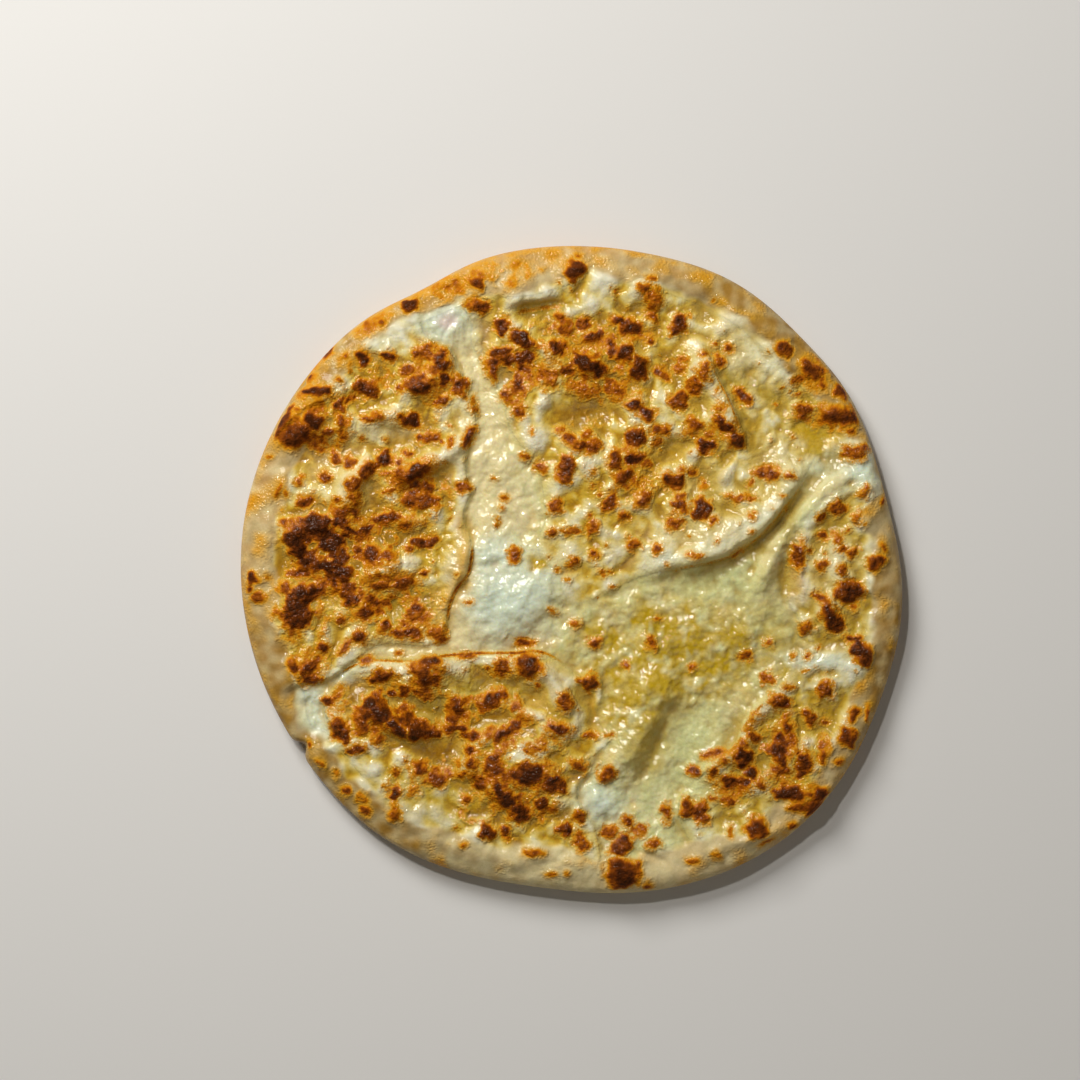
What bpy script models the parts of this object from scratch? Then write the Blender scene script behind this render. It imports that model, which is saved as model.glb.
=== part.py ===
"""Megrelian khachapuri: a round cheese bread, cut in four, that still lies whole.

Six solids: the bread with its puffed rim and hollow middle, the molten cheese that runs
through it and wells up in the cuts, and the four browned lobes of cheese between the cuts.

All lengths here are millimetres, seen from above with +X right and +Y up, angles in degrees
counter-clockwise from +X. The meshes are made in metres. The origin is on the table, under
the middle of the bread.
"""
import math

import bmesh
import bpy
import numpy as np

MM = 0.001

# Driving dimensions.
BREAD_RADIUS = 139.75
RIM_WIDTH = 15.0
LEAST_RIM = 2.6              # free of the lobes where the molten cheese reaches the edge
RIM_HEIGHT = 15.0
SIDE_HEIGHT = 5.8            # where the side bulges out furthest
ROUNDNESS = 2.5              # of the rim's side: 2 is elliptic, more is squarer
BASE_INSET = 7.0             # the flat base is this much smaller than the bread
BASE_THICKNESS = 6.0         # dough under the cheese
FILLING_THICKNESS = 3.7
CHEESE_HEIGHT = 13.2         # level of the molten cheese
HIGHEST = 22.8               # no form rises above this
SOFTLY_HELD = 3.0            # and this far below it the forms begin to be held down
GAP = 0.3                    # between neighbouring pieces

# The outline swells and dents: (direction, half-width, millimetres).
OUTLINE_SWELLS = [
    (312, 30, 8.8), (352, 14, 2.8), (14, 8, -0.8), (33, 10, 1.9), (60, 14, 2.9),
    (118, 9, -3.0), (175, 38, 3.2), (213.4, 1.4, -3.5), (232, 14, 1.7), (264, 14, -2.4),
]
# Where the rim is wider than RIM_WIDTH: (direction, half-width, millimetres).
RIM_SWELLS = [
    (18.3, 4.2, -40.0), (60, 20, 1.0), (99, 9, 6.0), (128, 14, -2.5), (178, 24, 3.5),
    (211, 5.5, -5.0), (262, 22, 6.0), (292, 12, 3.0),
]
# The rim's lumps: (direction, half-width, millimetres of height).
RIM_LUMPS = [
    (80, 9, 0.8), (103, 8, 1.4), (124, 7, -0.6), (140, 9, 0.9), (158, 6, -0.8), (172, 10, 0.9),
    (190, 7, -0.6), (204, 8, 0.7), (225, 9, -0.9), (243, 8, 0.5), (258, 10, 0.8), (277, 8, -0.5),
    (293, 9, 0.6), (318, 9, 0.5), (336, 8, -0.5), (354, 9, 0.7), (33, 10, -0.8), (52, 9, 0.4),
]

# The cut edges of the four lobes, each from the rim through the middle to the rim again.
UPPER_EDGE = [
    (146, 54), (132, 50.5), (122, 48), (113, 50), (106, 49.5), (102, 44), (97, 34), (90, 24),
    (82, 15), (72, 7), (60, 2.5), (46, 0), (32, -2.5), (20, -8), (10, -13), (0, -14), (-4, -8),
    (-6, -1), (-13, 5), (-14, 13), (-11, 22), (-12, 32), (-14, 42), (-19, 50), (-25, 58),
    (-28, 66), (-28, 72), (-32, 79), (-36, 85), (-40, 92), (-43, 98), (-43, 105), (-46, 113),
    (-52, 140),
]
LEFT_EDGE = [
    (-77, 132), (-67, 114), (-64, 103), (-60, 98), (-53, 95), (-49, 88), (-46, 80), (-43, 73),
    (-41, 66), (-42, 58), (-45, 50), (-45, 40), (-43, 33), (-46, 26), (-46, 20), (-43.5, 14),
    (-43, 5), (-45, -3), (-50, -9), (-53, -17), (-54, -25), (-57, -31), (-64, -33), (-74, -32),
    (-83, -32.5), (-89, -36), (-94, -40), (-100, -45), (-107, -48.5), (-114, -49), (-136, -57),
]
LOWER_EDGE = [
    (-126, -84), (-112, -77), (-104, -75), (-98, -72), (-103, -67), (-106, -62), (-106, -55),
    (-102, -49.5), (-97, -44), (-92, -40.5), (-85, -38.5), (-72, -39), (-60, -37.5),
    (-48, -36.5), (-35, -36), (-25, -36), (-16, -35.3), (-8, -38), (-2, -42), (3, -46),
    (8, -44.5), (13, -48), (13, -55), (11, -62), (13, -68), (16, -74), (11, -79), (8, -87),
    (3, -93), (3, -100), (7, -107), (11, -114), (14, -140),
]
RIGHT_EDGE = [
    (60, -134), (53, -121), (49, -113), (46, -105), (47, -98), (52, -92), (57, -84), (62, -79),
    (70, -76), (74, -69), (78, -62), (83.5, -56), (89, -49), (93, -42), (95, -35), (98, -27),
    (97, -20), (93, -14), (92.5, -5), (93, 5), (97, 14), (103, 23), (110, 29), (116, 33.5),
    (125, 36.5), (145, 38),
]
LOBE_REACH = 154.0           # the lobes' outer arcs, cut back later to the bread's hollow
EDGE_REACH = 14.0            # how far from its cut edge a lobe's surface still changes

# Rolls, ridges and creases: (points along the crest, height, width of the left side and of
# the right side as the line runs). A steep side is a narrow one, a crease has height below 0.
FOLDS = [
    ([(112, 57), (105, 48), (98, 37), (88, 27), (77, 17), (66, 10), (54, 5), (40, 1), (24, -3)],
     6.5, 4.6, 11.0),
    ([(105, 52), (99, 35), (91, 23), (82, 13), (70, 4), (54, -1)], -2.3, 2.6, 2.6),
    ([(130, 45), (114, 38), (104, 29), (96, 19), (89, 9), (84, 0), (80, -10), (74, -20)],
     5.2, 6.5, 4.2),
    ([(46, -36), (37, -56), (30, -71), (22, -84), (14, -96)], 5.0, 6.4, 13.0),
    ([(46, -52), (40, -66), (35, -79), (30, -89), (25, -98)], -1.7, 2.6, 2.6),
    ([(-98, -46), (-86, -42.5), (-72, -43), (-60, -42), (-48, -41), (-35, -40.5)],
     3.2, 3.4, 6.5),
    ([(-30, -39.5), (-19, -41), (-10, -46.5), (-4, -54), (1, -61), (6, -70)], 5.4, 4.6, 5.6),
    ([(-50, -50), (-38, -49), (-27, -50), (-17, -55), (-9, -61)], -3.4, 5.0, 5.0),
    ([(-26, -58), (-14, -63), (-4, -68), (8, -72)], 3.4, 3.0, 5.0),
    ([(5, -50), (9, -58), (11, -66), (16, -74)], -1.8, 2.2, 2.2),
    ([(97, 20), (94, 8), (93.5, -4), (95, -18)], -2.6, 3.4, 3.4),
    ([(102, 22), (99, 8), (98.5, -6), (101, -20)], 1.6, 6.0, 3.0),
    ([(-4, 119), (-13, 116.5), (-20, 115.5), (-30, 112.5)], 3.1, 1.6, 7.5),
    ([(-2, 113), (-14, 111.5), (-24, 110)], -1.6, 3.5, 3.0),
    ([(-100, 75), (-112, 71), (-120, 65), (-129, 56)], 2.0, 1.4, 6.0),
    ([(50, 102), (53, 98), (58, 90), (62, 82), (66, 74), (70, 64), (73, 55), (74, 48)],
     4.8, 2.0, 10.0),
    ([(74, 55), (70, 46), (65.5, 40), (63, 33)], 2.3, 5.0, 1.8),
    ([(92, -45), (84, -55), (76, -65), (71, -76), (58, -85), (50, -94)], 3.1, 7.0, 2.2),
    ([(-44.5, 31), (-48, 20), (-46, 8), (-48.5, -3), (-53.5, -12), (-57, -26)], 2.0, 2.4, 8.0),
    ([(-101, 22), (-97, 30), (-94, 38), (-89, 44), (-83, 50)], 4.5, 4.6, 4.6),
    ([(-78, 34), (-70, 40), (-62, 45), (-53, 49), (-46, 56), (-41, 63)], 4.4, 6.0, 3.4),
    ([(-74, 31), (-64, 37), (-54, 42), (-47, 48)], -2.5, 4.5, 4.5),
    ([(-79, 73), (-70, 76), (-62, 81), (-56, 88), (-54, 97)], 3.5, 5.0, 3.8),
    ([(-104, 56), (-92, 60), (-80, 66), (-66, 69)], 3.1, 6.5, 5.0),
    ([(-122, 44), (-112, 52), (-98, 53)], -2.7, 5.0, 5.0),
    ([(-92, -54), (-82, -62), (-72, -69), (-58, -72)], 4.8, 5.6, 3.0),
    ([(-82, -52), (-72, -58), (-60, -62), (-48, -63)], -2.6, 4.5, 4.5),
    ([(-40, -90), (-30, -97), (-20, -106)], 3.5, 4.4, 4.0),
    ([(-26, -64), (-37, -72), (-43, -82), (-42, -92)], 3.1, 4.2, 4.0),
    ([(-96, 0), (-84, -2), (-72, 3), (-60, 2)], 2.5, 4.0, 6.0),
    ([(-92, -12), (-80, -16), (-68, -14), (-58, -20)], -2.5, 5.0, 5.0),
    ([(-84, 24), (-72, 20), (-62, 22), (-52, 30)], 2.2, 4.0, 5.0),
    ([(-20, 92), (-8, 94), (4, 90), (16, 94)], 2.3, 4.5, 6.0),
    ([(-14, 70), (0, 66), (14, 68), (28, 62)], -2.0, 5.5, 5.5),
    ([(-8, 46), (6, 44), (18, 50), (30, 48)], 2.0, 4.5, 6.0),
    ([(40, 60), (46, 48), (56, 40), (58, 28)], -2.2, 5.0, 5.0),
    ([(34, 96), (44, 86), (52, 76), (60, 62)], -2.3, 5.5, 5.5),
    ([(86, 74), (92, 84), (100, 92), (104, 102)], 2.2, 4.0, 5.0),
    ([(72, 92), (80, 80), (88, 72), (96, 68)], -1.8, 4.0, 4.0),
    ([(110, 8), (114, -4), (110, -18), (114, -30)], 2.3, 5.5, 4.0),
    ([(70, -96), (84, -90), (96, -78), (104, -64)], 2.3, 5.0, 5.5),
    ([(-66, -92), (-56, -84), (-50, -76), (-44, -66)], -1.8, 4.5, 4.5),
    ([(-88, -92), (-78, -84), (-66, -80)], 1.8, 5.0, 5.0),
    ([(2, 91), (9, 86), (18, 84)], 2.0, 4.0, 4.0),
    ([(20, 98), (27, 91), (32, 83)], 2.5, 4.5, 5.0),
    ([(-34, 108), (-22, 101), (-16, 92)], 1.8, 5.0, 5.0),
    ([(62, 66), (68, 60), (73, 51)], 2.2, 3.5, 5.0),
    ([(-60, -120), (-38, -125), (-10, -125), (14, -128)], 1.4, 5.0, 5.0),
    ([(58, -122), (72, -117), (85, -114), (98, -104)], 1.7, 2.4, 5.5),
    ([(24, -120), (34, -123), (44, -127)], -0.9, 1.6, 1.6),
    ([(-128, 52), (-126.5, 32), (-126, 8), (-128, -22)], -1.4, 3.0, 4.5),
    ([(36, -2), (50, 1), (64, 4), (76, 10)], -0.9, 2.2, 2.2),
    ([(-44, 66), (-38, 52), (-28, 40), (-22, 28)], 1.6, 6.0, 6.0),
]
# Domes and hollows: (x, y, half-length along x, half-length along y, height).
DOMES = [
    (-54, 106, 10, 9, 2.6), (-28, -14, 18, 15, 5.4), (-34, 8, 9, 8, 2.6), (-30, 24, 11, 8, 1.5),
    (-38, 43, 11, 8, 1.4), (-13, -6, 9, 9, 2.4), (12, -100, 9, 8, 2.6), (127, 43, 12, 9, 2.2),
    (83, 88, 11, 8, 1.9), (-20, -83, 16, 15, 4.6), (-104, 10, 15, 15, 2.0), (-112, 60, 12, 9, 1.4),
    (58.5, 113, 6, 5, -2.2), (-8, 131, 6, 4, -1.0), (104, 57, 8, 7, -2.2), (50, -80, 9, 22, -1.6),
    (-110, -64, 6, 9, -1.0), (-20, -31.5, 9, 3.0, -1.7), (60, -3, 20, 6, -0.7),
    (107, -39, 14, 4.5, 1.3), (28, -47, 9, 7, 0.9), (4, -27, 9, 6, 0.9), (20, -17, 8, 5, 0.8),
    (70, -30, 10, 6, 0.9), (50, -30, 9, 5, 0.8), (12, 30, 9, 7, 0.9), (90, 105, 12, 8, 1.0),
    (68, 108, 9, 8, 1.0), (-78, 5, 10, 7, 1.3), (-70, -12, 10, 6, 0.9), (-60, 62, 12, 6, 0.9),
    (118, 2, 12, 10, 1.2), (75, -100, 10, 7, 0.9), (-60, -104, 14, 8, 1.0), (10, 118, 12, 7, 0.9),
    (-61, -45, 9, 9, 2.0), (-104, 12, 9, 8, -1.8), (-41, 0, 6, 15, 1.4), (-47, -20, 6, 9, 1.0),
]
# The largest browned blisters: (x, y, length, width, direction of the length).
BLISTERS = [
    (-69.5, 113.5, 7, 7, 0), (-109, 76.5, 15, 5, 0), (-88, 77, 11, 10, 0), (-78, 91.3, 7, 5.5, 0),
    (-89.5, 90, 7, 5, -60), (-66, 79.5, 12, 8, 0), (-70, 65, 10, 8, 0), (-110.5, 64, 11, 6, -20),
    (-100, 68, 12, 5.5, 80), (-124, 64, 16, 6, 62), (-40.5, 124, 7, 7, 45), (-40, 113.3, 10, 7, 0),
    (1.5, 129, 10, 8, 70), (-30, 104.5, 8, 7, 0), (-21, 98.5, 11, 7, -30), (-29, 92, 13, 7, 0),
    (-20, 91, 10, 6, 10), (-6, 95.5, 9, 7, -30), (5.5, 105.5, 8, 5, 0), (10, 100, 11, 5, 20),
    (22, 106, 14, 7, -25), (34, 118, 18, 8, 90), (46.5, 105.5, 13, 6, 55), (29, 69, 15, 9, -30),
    (27.5, 56.5, 11, 9, 0), (46, 72, 9, 9, 0), (-2, 43, 13, 9, 80), (20.5, 43, 15, 8, -60),
    (27, 47.5, 10, 6, 0), (44, 38, 11, 7, 0), (55.5, 25, 11, 9, 45), (46.5, 28, 9, 7, 0),
    (58, 53, 9, 7, 0), (56.5, 84.5, 9, 6, 60), (73.5, 74.5, 10, 5, -45), (91, 94.5, 8, 8, 0),
    (104, 84, 12, 7, -55), (116, 76.5, 8, 6, -45), (114, 65, 15, 7, 0), (84, 41.5, 13, 5, 0),
    (119, -9.5, 12, 11, 0), (112, -21, 15, 8, -50), (124.5, -36, 12, 8, -60), (130.5, 3, 10, 6, 35),
    (114, 27, 9, 7, 0), (118.5, -71.5, 10, 8, -60), (89.5, -77, 15, 7, -80), (100, -83.5, 13, 7, 75),
    (75, -82, 15, 9, -75), (94, -96, 14, 8, 0), (106.5, -96, 7, 6, 0), (79, -111, 11, 8, 50),
    (70, -91, 12, 5, 0), (-18.5, -87.5, 14, 10, 0), (-76, -96, 8, 6, -70), (-99, -69, 11, 8, -60),
    (-117, -19, 14, 12, -60), (-95, -11, 13, 8, -75), (-118, 10, 13, 7, -55), (-66, 42, 15, 6, 25),
    (-78, 22, 11, 6, 10), (-63, 11.5, 11, 6, 5), (-18.5, -41.5, 11, 9, -60), (8.5, -49, 10, 6, -35),
    (-3, -111, 7.5, 7, 0), (21.5, -131, 17, 13, 0), (21, -118, 11, 7, 50), (-35.5, -112, 8, 7, 0),
    (-137, -4, 6, 6, 0), (-62, -42, 13, 9, -70), (-106, 20, 14, 9, 0), (-82, -46, 11, 6, 10),
]
BLISTER_SLOPE = 0.17         # a blister's height for each millimetre of its width
# Unevenness of the whole top: (distance between the lumps, height, seed).
UNEVENNESS = [(30.0, 0.9, 3), (17.0, 0.9, 8), (9.5, 0.6, 21)]
# Soft puffs with creases between them: (distance between the puffs, height, seed).
PUFFS = [(21.0, 1.7, 91), (11.5, 1.5, 92)]

# Finish: base colour (linear), roughness.
DOUGH = ((0.62, 0.38, 0.17), 0.8)
MOLTEN_CHEESE = ((0.72, 0.66, 0.42), 0.3)
BAKED_CHEESE = ((0.56, 0.30, 0.08), 0.35)

RINGS_OVER_TOP = 110
RINGS_UNDER_SIDE = 5
SECTORS = 420
TRIANGLES = 6500             # of the whole bread, before it is cut into its pieces


def swells(direction, table):
    """Sum of the rounded bumps of the table at each direction in degrees."""
    total = np.zeros_like(direction)
    for centre, half_width, size in table:
        away = (direction - centre + 180.0) % 360.0 - 180.0
        total += size * np.exp(-((away / half_width) ** 2))
    return total


def outline_radius(direction):
    return BREAD_RADIUS + swells(direction, OUTLINE_SWELLS)


def rim_width(direction):
    return RIM_WIDTH + swells(direction, RIM_SWELLS)


def smoothstep(value):
    t = np.clip(value, 0.0, 1.0)
    return t * t * (3.0 - 2.0 * t)


def smooth_line(points, parts=3):
    """A Catmull-Rom curve through the points, with that many parts between each two."""
    p = np.array(points, float)
    p = np.vstack([2 * p[0] - p[1], p, 2 * p[-1] - p[-2]])
    t = np.linspace(0.0, 1.0, parts, endpoint=False)[:, None]
    pieces = []
    for a, b, c, d in zip(p, p[1:], p[2:], p[3:]):
        pieces.append(
            0.5 * (2 * b + (c - a) * t + (2 * a - 5 * b + 4 * c - d) * t**2
                   + (3 * b - a - 3 * c + d) * t**3)
        )
    pieces.append(p[-2:-1])
    return np.vstack(pieces)


def beside_line(points, x, y):
    """How far each place lies to the left of the line, less than 0 on its right, and how far
    along it, 0 to 1."""
    line = smooth_line(points)
    nearest = np.full(x.shape, np.inf)
    left = np.zeros(x.shape)
    along = np.zeros(x.shape)
    steps = np.hypot(*np.diff(line, axis=0).T)
    reached = np.concatenate([[0.0], np.cumsum(steps)]) / steps.sum()
    for i, (start, end) in enumerate(zip(line, line[1:])):
        run = end - start
        t = ((x - start[0]) * run[0] + (y - start[1]) * run[1]) / (run @ run)
        t = np.clip(t, 0.0, 1.0)
        off_x = x - start[0] - t * run[0]
        off_y = y - start[1] - t * run[1]
        distance = np.hypot(off_x, off_y)
        closer = distance < nearest
        nearest = np.where(closer, distance, nearest)
        along = np.where(closer, reached[i] + t * (reached[i + 1] - reached[i]), along)
        across = run[0] * off_y - run[1] * off_x
        left = np.where(closer, np.where(across < 0, -distance, distance), left)
    return left, along


def lumps(x, y, spacing, seed):
    """Random heights between -1 and 1 on a turned square lattice, blended smoothly."""
    lattice = np.random.RandomState(seed).uniform(-1.0, 1.0, (64, 64))
    c, s = math.cos(seed), math.sin(seed)
    u, v = (c * x - s * y) / spacing + 32.0, (s * x + c * y) / spacing + 32.0
    i, j = np.floor(u).astype(int), np.floor(v).astype(int)
    a, b = smoothstep(u - i), smoothstep(v - j)
    near = lattice[i, j] * (1 - a) + lattice[i + 1, j] * a
    far = lattice[i, j + 1] * (1 - a) + lattice[i + 1, j + 1] * a
    return near * (1 - b) + far * b


def ripples(x, y, spacing, seed):
    """Gradient noise, about -1 to 1, without the lattice's flat spots."""
    turns = np.random.RandomState(seed).uniform(0.0, 2.0 * math.pi, (256, 256))
    c, s = math.cos(seed), math.sin(seed)
    u, v = (c * x - s * y) / spacing + 512.0, (s * x + c * y) / spacing + 512.0
    i, j = np.floor(u).astype(int), np.floor(v).astype(int)
    u, v = u - i, v - j
    total = np.zeros(x.shape)
    for right in (0, 1):
        for up in (0, 1):
            turn = turns[(i + right) % 256, (j + up) % 256]
            slope = np.cos(turn) * (u - right) + np.sin(turn) * (v - up)
            share_u = smoothstep(u) if right else 1.0 - smoothstep(u)
            share_v = smoothstep(v) if up else 1.0 - smoothstep(v)
            total += slope * share_u * share_v
    return 1.9 * total


def is_inside(outline, x, y):
    """True for each place inside the closed outline."""
    inside = np.zeros(x.shape, bool)
    for (x0, y0), (x1, y1) in zip(outline, np.roll(outline, -1, axis=0)):
        if y0 == y1:
            continue
        crosses = (y0 > y) != (y1 > y)
        inside ^= crosses & (x < x0 + (y - y0) * (x1 - x0) / (y1 - y0))
    return inside


def lobe_outline(edge):
    """The closed outline of a lobe: its cut edge, then an arc round outside the bread."""
    first, last = edge[0], edge[-1]
    start = math.degrees(math.atan2(last[1], last[0]))
    sweep = (math.degrees(math.atan2(first[1], first[0])) - start) % 360.0
    if sweep > 180.0:
        sweep -= 360.0
    turns = np.radians(start + sweep * np.linspace(0.02, 0.98, 14))
    arc = LOBE_REACH * np.stack([np.cos(turns), np.sin(turns)], axis=1)
    return np.vstack([smooth_line(edge), arc])


# Node: cut edge, how far the lobe stands above the molten cheese, and over what width.
LOBES = {
    "baked_cheese_upper": (UPPER_EDGE, 1.6, 6.5),
    "baked_cheese_left": (LEFT_EDGE, 2.0, 3.4),
    "baked_cheese_lower": (LOWER_EDGE, 2.4, 3.6),
    "baked_cheese_right": (RIGHT_EDGE, 2.1, 4.5),
}


def rim_profile(x, y):
    """Height of the bread without its forms: a round rim, then the level of the cheese."""
    direction = np.degrees(np.arctan2(y, x))
    inwards = np.maximum(outline_radius(direction) - np.hypot(x, y), 0.0)
    width = np.clip(rim_width(direction), 8.0, None)
    height = RIM_HEIGHT + swells(direction, RIM_LUMPS)
    crest = (0.52 + 0.18 * lumps(x, y, 21.0, 5)) * width
    rise = (1.0 - np.clip(1.0 - inwards / crest, 0.0, 1.0) ** ROUNDNESS) ** (1.0 / ROUNDNESS)
    outer = SIDE_HEIGHT + (height - SIDE_HEIGHT) * rise
    fall = smoothstep((inwards - crest) / (1.0 * width))
    return np.where(inwards < crest, outer, height + (CHEESE_HEIGHT - height) * fall)


def relief(x, y):
    """What the lobes, folds, domes, blisters and puffs add to the rim profile."""
    direction = np.degrees(np.arctan2(y, x))
    inwards = outline_radius(direction) - np.hypot(x, y)
    rim = np.maximum(rim_width(direction), LEAST_RIM)
    off_the_rim = smoothstep((inwards - 0.25 * rim) / 9.0)
    # The same places, shifted to and fro a little, so that forms there have uneven edges.
    shifted_x = x + 1.5 * ripples(x, y, 13.0, 41) + 0.7 * ripples(x, y, 5.0, 42)
    shifted_y = y + 1.5 * ripples(x, y, 13.0, 43) + 0.7 * ripples(x, y, 5.0, 44)
    added = np.zeros(x.shape)
    in_lobe = np.full(x.shape, -EDGE_REACH)
    for seed, (edge, rise, width) in enumerate(LOBES.values()):
        depth = np.minimum(np.abs(beside_line(edge, x, y)[0]), EDGE_REACH)
        depth = np.where(is_inside(lobe_outline(edge), x, y), depth, -depth)
        in_lobe = np.maximum(in_lobe, depth)
        uneven = 0.85 + 0.4 * ripples(x, y, 22.0, 60 + seed)
        added += rise * uneven * smoothstep(0.5 + depth / width) * off_the_rim
    for seed, (points, height, left_width, right_width) in enumerate(FOLDS):
        left, along = beside_line(points, x, y)
        width = np.where(left > 0, left_width, right_width)
        taper = smoothstep(3.4 * along) * smoothstep(3.4 * (1.0 - along))
        uneven = 0.95 + 0.3 * ripples(x, y, 12.0, 80 + seed)
        added += height * uneven * taper * np.exp(-((left / width) ** 2))
    for cx, cy, half_x, half_y, height in DOMES:
        q = ((shifted_x - cx) / half_x) ** 2 + ((shifted_y - cy) / half_y) ** 2
        added += height * np.exp(-0.9 * q**1.3)
    for spacing, height, seed in UNEVENNESS:
        added += height * lumps(x, y, spacing, seed)
    firm = 0.3 + 0.7 * smoothstep(0.5 + in_lobe / 8.0) * smoothstep((inwards - 5.0) / 14.0)
    for spacing, height, seed in PUFFS:
        added += firm * height * (np.abs(ripples(shifted_x, shifted_y, spacing, seed)) - 0.35)
    added *= smoothstep(inwards / 6.0)
    for cx, cy, length, width, turn in BLISTERS:
        c, s = math.cos(math.radians(turn)), math.sin(math.radians(turn))
        u = ((x - cx) * c + (y - cy) * s) / (0.5 * length)
        v = ((y - cy) * c - (x - cx) * s) / (0.5 * width)
        q = np.hypot(u, v)
        beyond = np.maximum(q - 1.0, 0.0) * 0.5 * width
        bump = np.clip(1.0 - q**2.4, 0.0, 1.0) ** 0.75
        foot = 0.5 * np.exp(-((beyond / (0.35 * width + 1.0)) ** 2))
        added += BLISTER_SLOPE * min(width, 10.0) * (bump + foot) * smoothstep(inwards / 3.0)
    return added


def top_height(x, y):
    """Height of the whole top, with its highest forms gently held down."""
    height = rim_profile(x, y) + relief(x, y)
    start = HIGHEST - SOFTLY_HELD
    over = np.maximum(height - start, 0.0)
    return np.minimum(height, start) + SOFTLY_HELD * (1.0 - np.exp(-over / SOFTLY_HELD))


def outline_centre():
    """Middle of the bread's bounding box, which becomes the origin."""
    direction = np.arange(0.0, 360.0, 0.5)
    radius = outline_radius(direction)
    x = radius * np.cos(np.radians(direction))
    y = radius * np.sin(np.radians(direction))
    return 0.5 * (x.min() + x.max()), 0.5 * (y.min() + y.max())


CENTRE = outline_centre()


def new_mesh(name, points, faces):
    """A mesh in metres about the origin, from points in millimetres."""
    placed = [((x - CENTRE[0]) * MM, (y - CENTRE[1]) * MM, z * MM) for x, y, z in points]
    mesh = bpy.data.meshes.new(name)
    mesh.from_pydata(placed, [], faces)
    mesh.validate()
    return mesh


def add_object(name, mesh):
    obj = bpy.data.objects.new(name, mesh)
    bpy.context.scene.collection.objects.link(obj)
    return obj


def whole_mesh():
    """The uncut bread as one closed mesh of rings, thinned out where it is smooth. Its
    underside is cut flat after the thinning, which would leave it slightly uneven."""
    spare = 0.5
    sectors = np.arange(SECTORS) * 360.0 / SECTORS
    reach = outline_radius(sectors)
    unit_x, unit_y = np.cos(np.radians(sectors)), np.sin(np.radians(sectors))
    rings = []
    # Rings lie closer together towards the outline, where the rim falls steeply.
    for share in np.sin(0.5 * math.pi * np.linspace(0.0, 1.0, RINGS_OVER_TOP + 1)[1:]):
        x, y = share * reach * unit_x, share * reach * unit_y
        rings.append(np.stack([x, y, top_height(x, y)], axis=1))
    for turn in np.linspace(0.0, 0.5 * math.pi, RINGS_UNDER_SIDE + 1)[1:]:
        inset = BASE_INSET * (1.0 - math.cos(turn))
        low = SIDE_HEIGHT - (SIDE_HEIGHT + spare) * math.sin(turn)
        radius = reach - inset
        rings.append(np.stack([radius * unit_x, radius * unit_y,
                               np.full(SECTORS, low)], axis=1))
    middle = np.zeros(1)
    points = [(0.0, 0.0, float(top_height(middle, middle)[0]))]
    for ring in rings:
        points.extend(map(tuple, ring))
    faces = [(0, 1 + i, 1 + (i + 1) % SECTORS) for i in range(SECTORS)]
    for k in range(len(rings) - 1):
        inner, outer = 1 + k * SECTORS, 1 + (k + 1) * SECTORS
        for i in range(SECTORS):
            j = (i + 1) % SECTORS
            faces.append((inner + i, outer + i, outer + j, inner + j))
    base = 1 + (len(rings) - 1) * SECTORS
    faces.append(tuple(base + i for i in reversed(range(SECTORS))))
    fine = add_object("whole_bread", new_mesh("whole_bread", points, faces))
    thin = fine.modifiers.new("thin", "DECIMATE")
    thin.use_collapse_triangulate = True
    thin.ratio = TRIANGLES / (2 * SECTORS * (len(rings) - 1) + 2 * SECTORS)
    graph = bpy.context.evaluated_depsgraph_get()
    mesh = bpy.data.meshes.new_from_object(fine.evaluated_get(graph))
    bpy.data.objects.remove(fine)
    bm = bmesh.new()
    bm.from_mesh(mesh)
    cut = bmesh.ops.bisect_plane(
        bm, geom=bm.verts[:] + bm.edges[:] + bm.faces[:], plane_co=(0, 0, 0),
        plane_no=(0, 0, 1), clear_inner=True,
    )
    rim = [e for e in cut["geom_cut"] if isinstance(e, bmesh.types.BMEdge)]
    bmesh.ops.contextual_create(bm, geom=rim)
    bmesh.ops.recalc_face_normals(bm, faces=bm.faces)
    bm.to_mesh(mesh)
    bm.free()
    return mesh


def prism(name, outline, bottom, top):
    """A hidden cutter: the outline in millimetres, straight up from bottom to top."""
    n = len(outline)
    points = [(x, y, bottom) for x, y in outline] + [(x, y, top) for x, y in outline]
    faces = [tuple(range(n)), tuple(range(n, 2 * n))]
    faces += [(i, (i + 1) % n, n + (i + 1) % n, n + i) for i in range(n)]
    mesh = new_mesh(name, points, faces)
    bm = bmesh.new()
    bm.from_mesh(mesh)
    bmesh.ops.recalc_face_normals(bm, faces=bm.faces)
    bm.to_mesh(mesh)
    bm.free()
    cutter = add_object(name, mesh)
    cutter.hide_render = True
    cutter.display_type = "WIRE"
    return cutter


def hollow_outline(inset):
    """Outline of the bread's hollow, or of what fills it with that much space around."""
    direction = np.concatenate([np.arange(10.0, 28.0, 1.5), np.arange(28.0, 370.0, 4.5)])
    radius = outline_radius(direction) - rim_width(direction) - inset
    return np.stack([radius * np.cos(np.radians(direction)),
                     radius * np.sin(np.radians(direction))], axis=1)


def grown(outline, by):
    """The counter-clockwise outline moved outwards by that many millimetres."""
    ahead = np.roll(outline, -1, axis=0) - outline
    ahead /= np.hypot(*ahead.T)[:, None]
    behind = np.roll(ahead, 1, axis=0)
    normal = np.stack([ahead[:, 1] + behind[:, 1], -ahead[:, 0] - behind[:, 0]], axis=1)
    normal /= np.hypot(*normal.T)[:, None]
    stretch = 1.0 / np.clip((normal * np.stack([ahead[:, 1], -ahead[:, 0]], axis=1)).sum(axis=1),
                            0.6, 1.0)
    return outline + by * stretch[:, None] * normal


def counter_clockwise(outline):
    x, y = outline.T
    area = (x * np.roll(y, -1) - np.roll(x, -1) * y).sum()
    return outline if area > 0 else outline[::-1]


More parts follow.
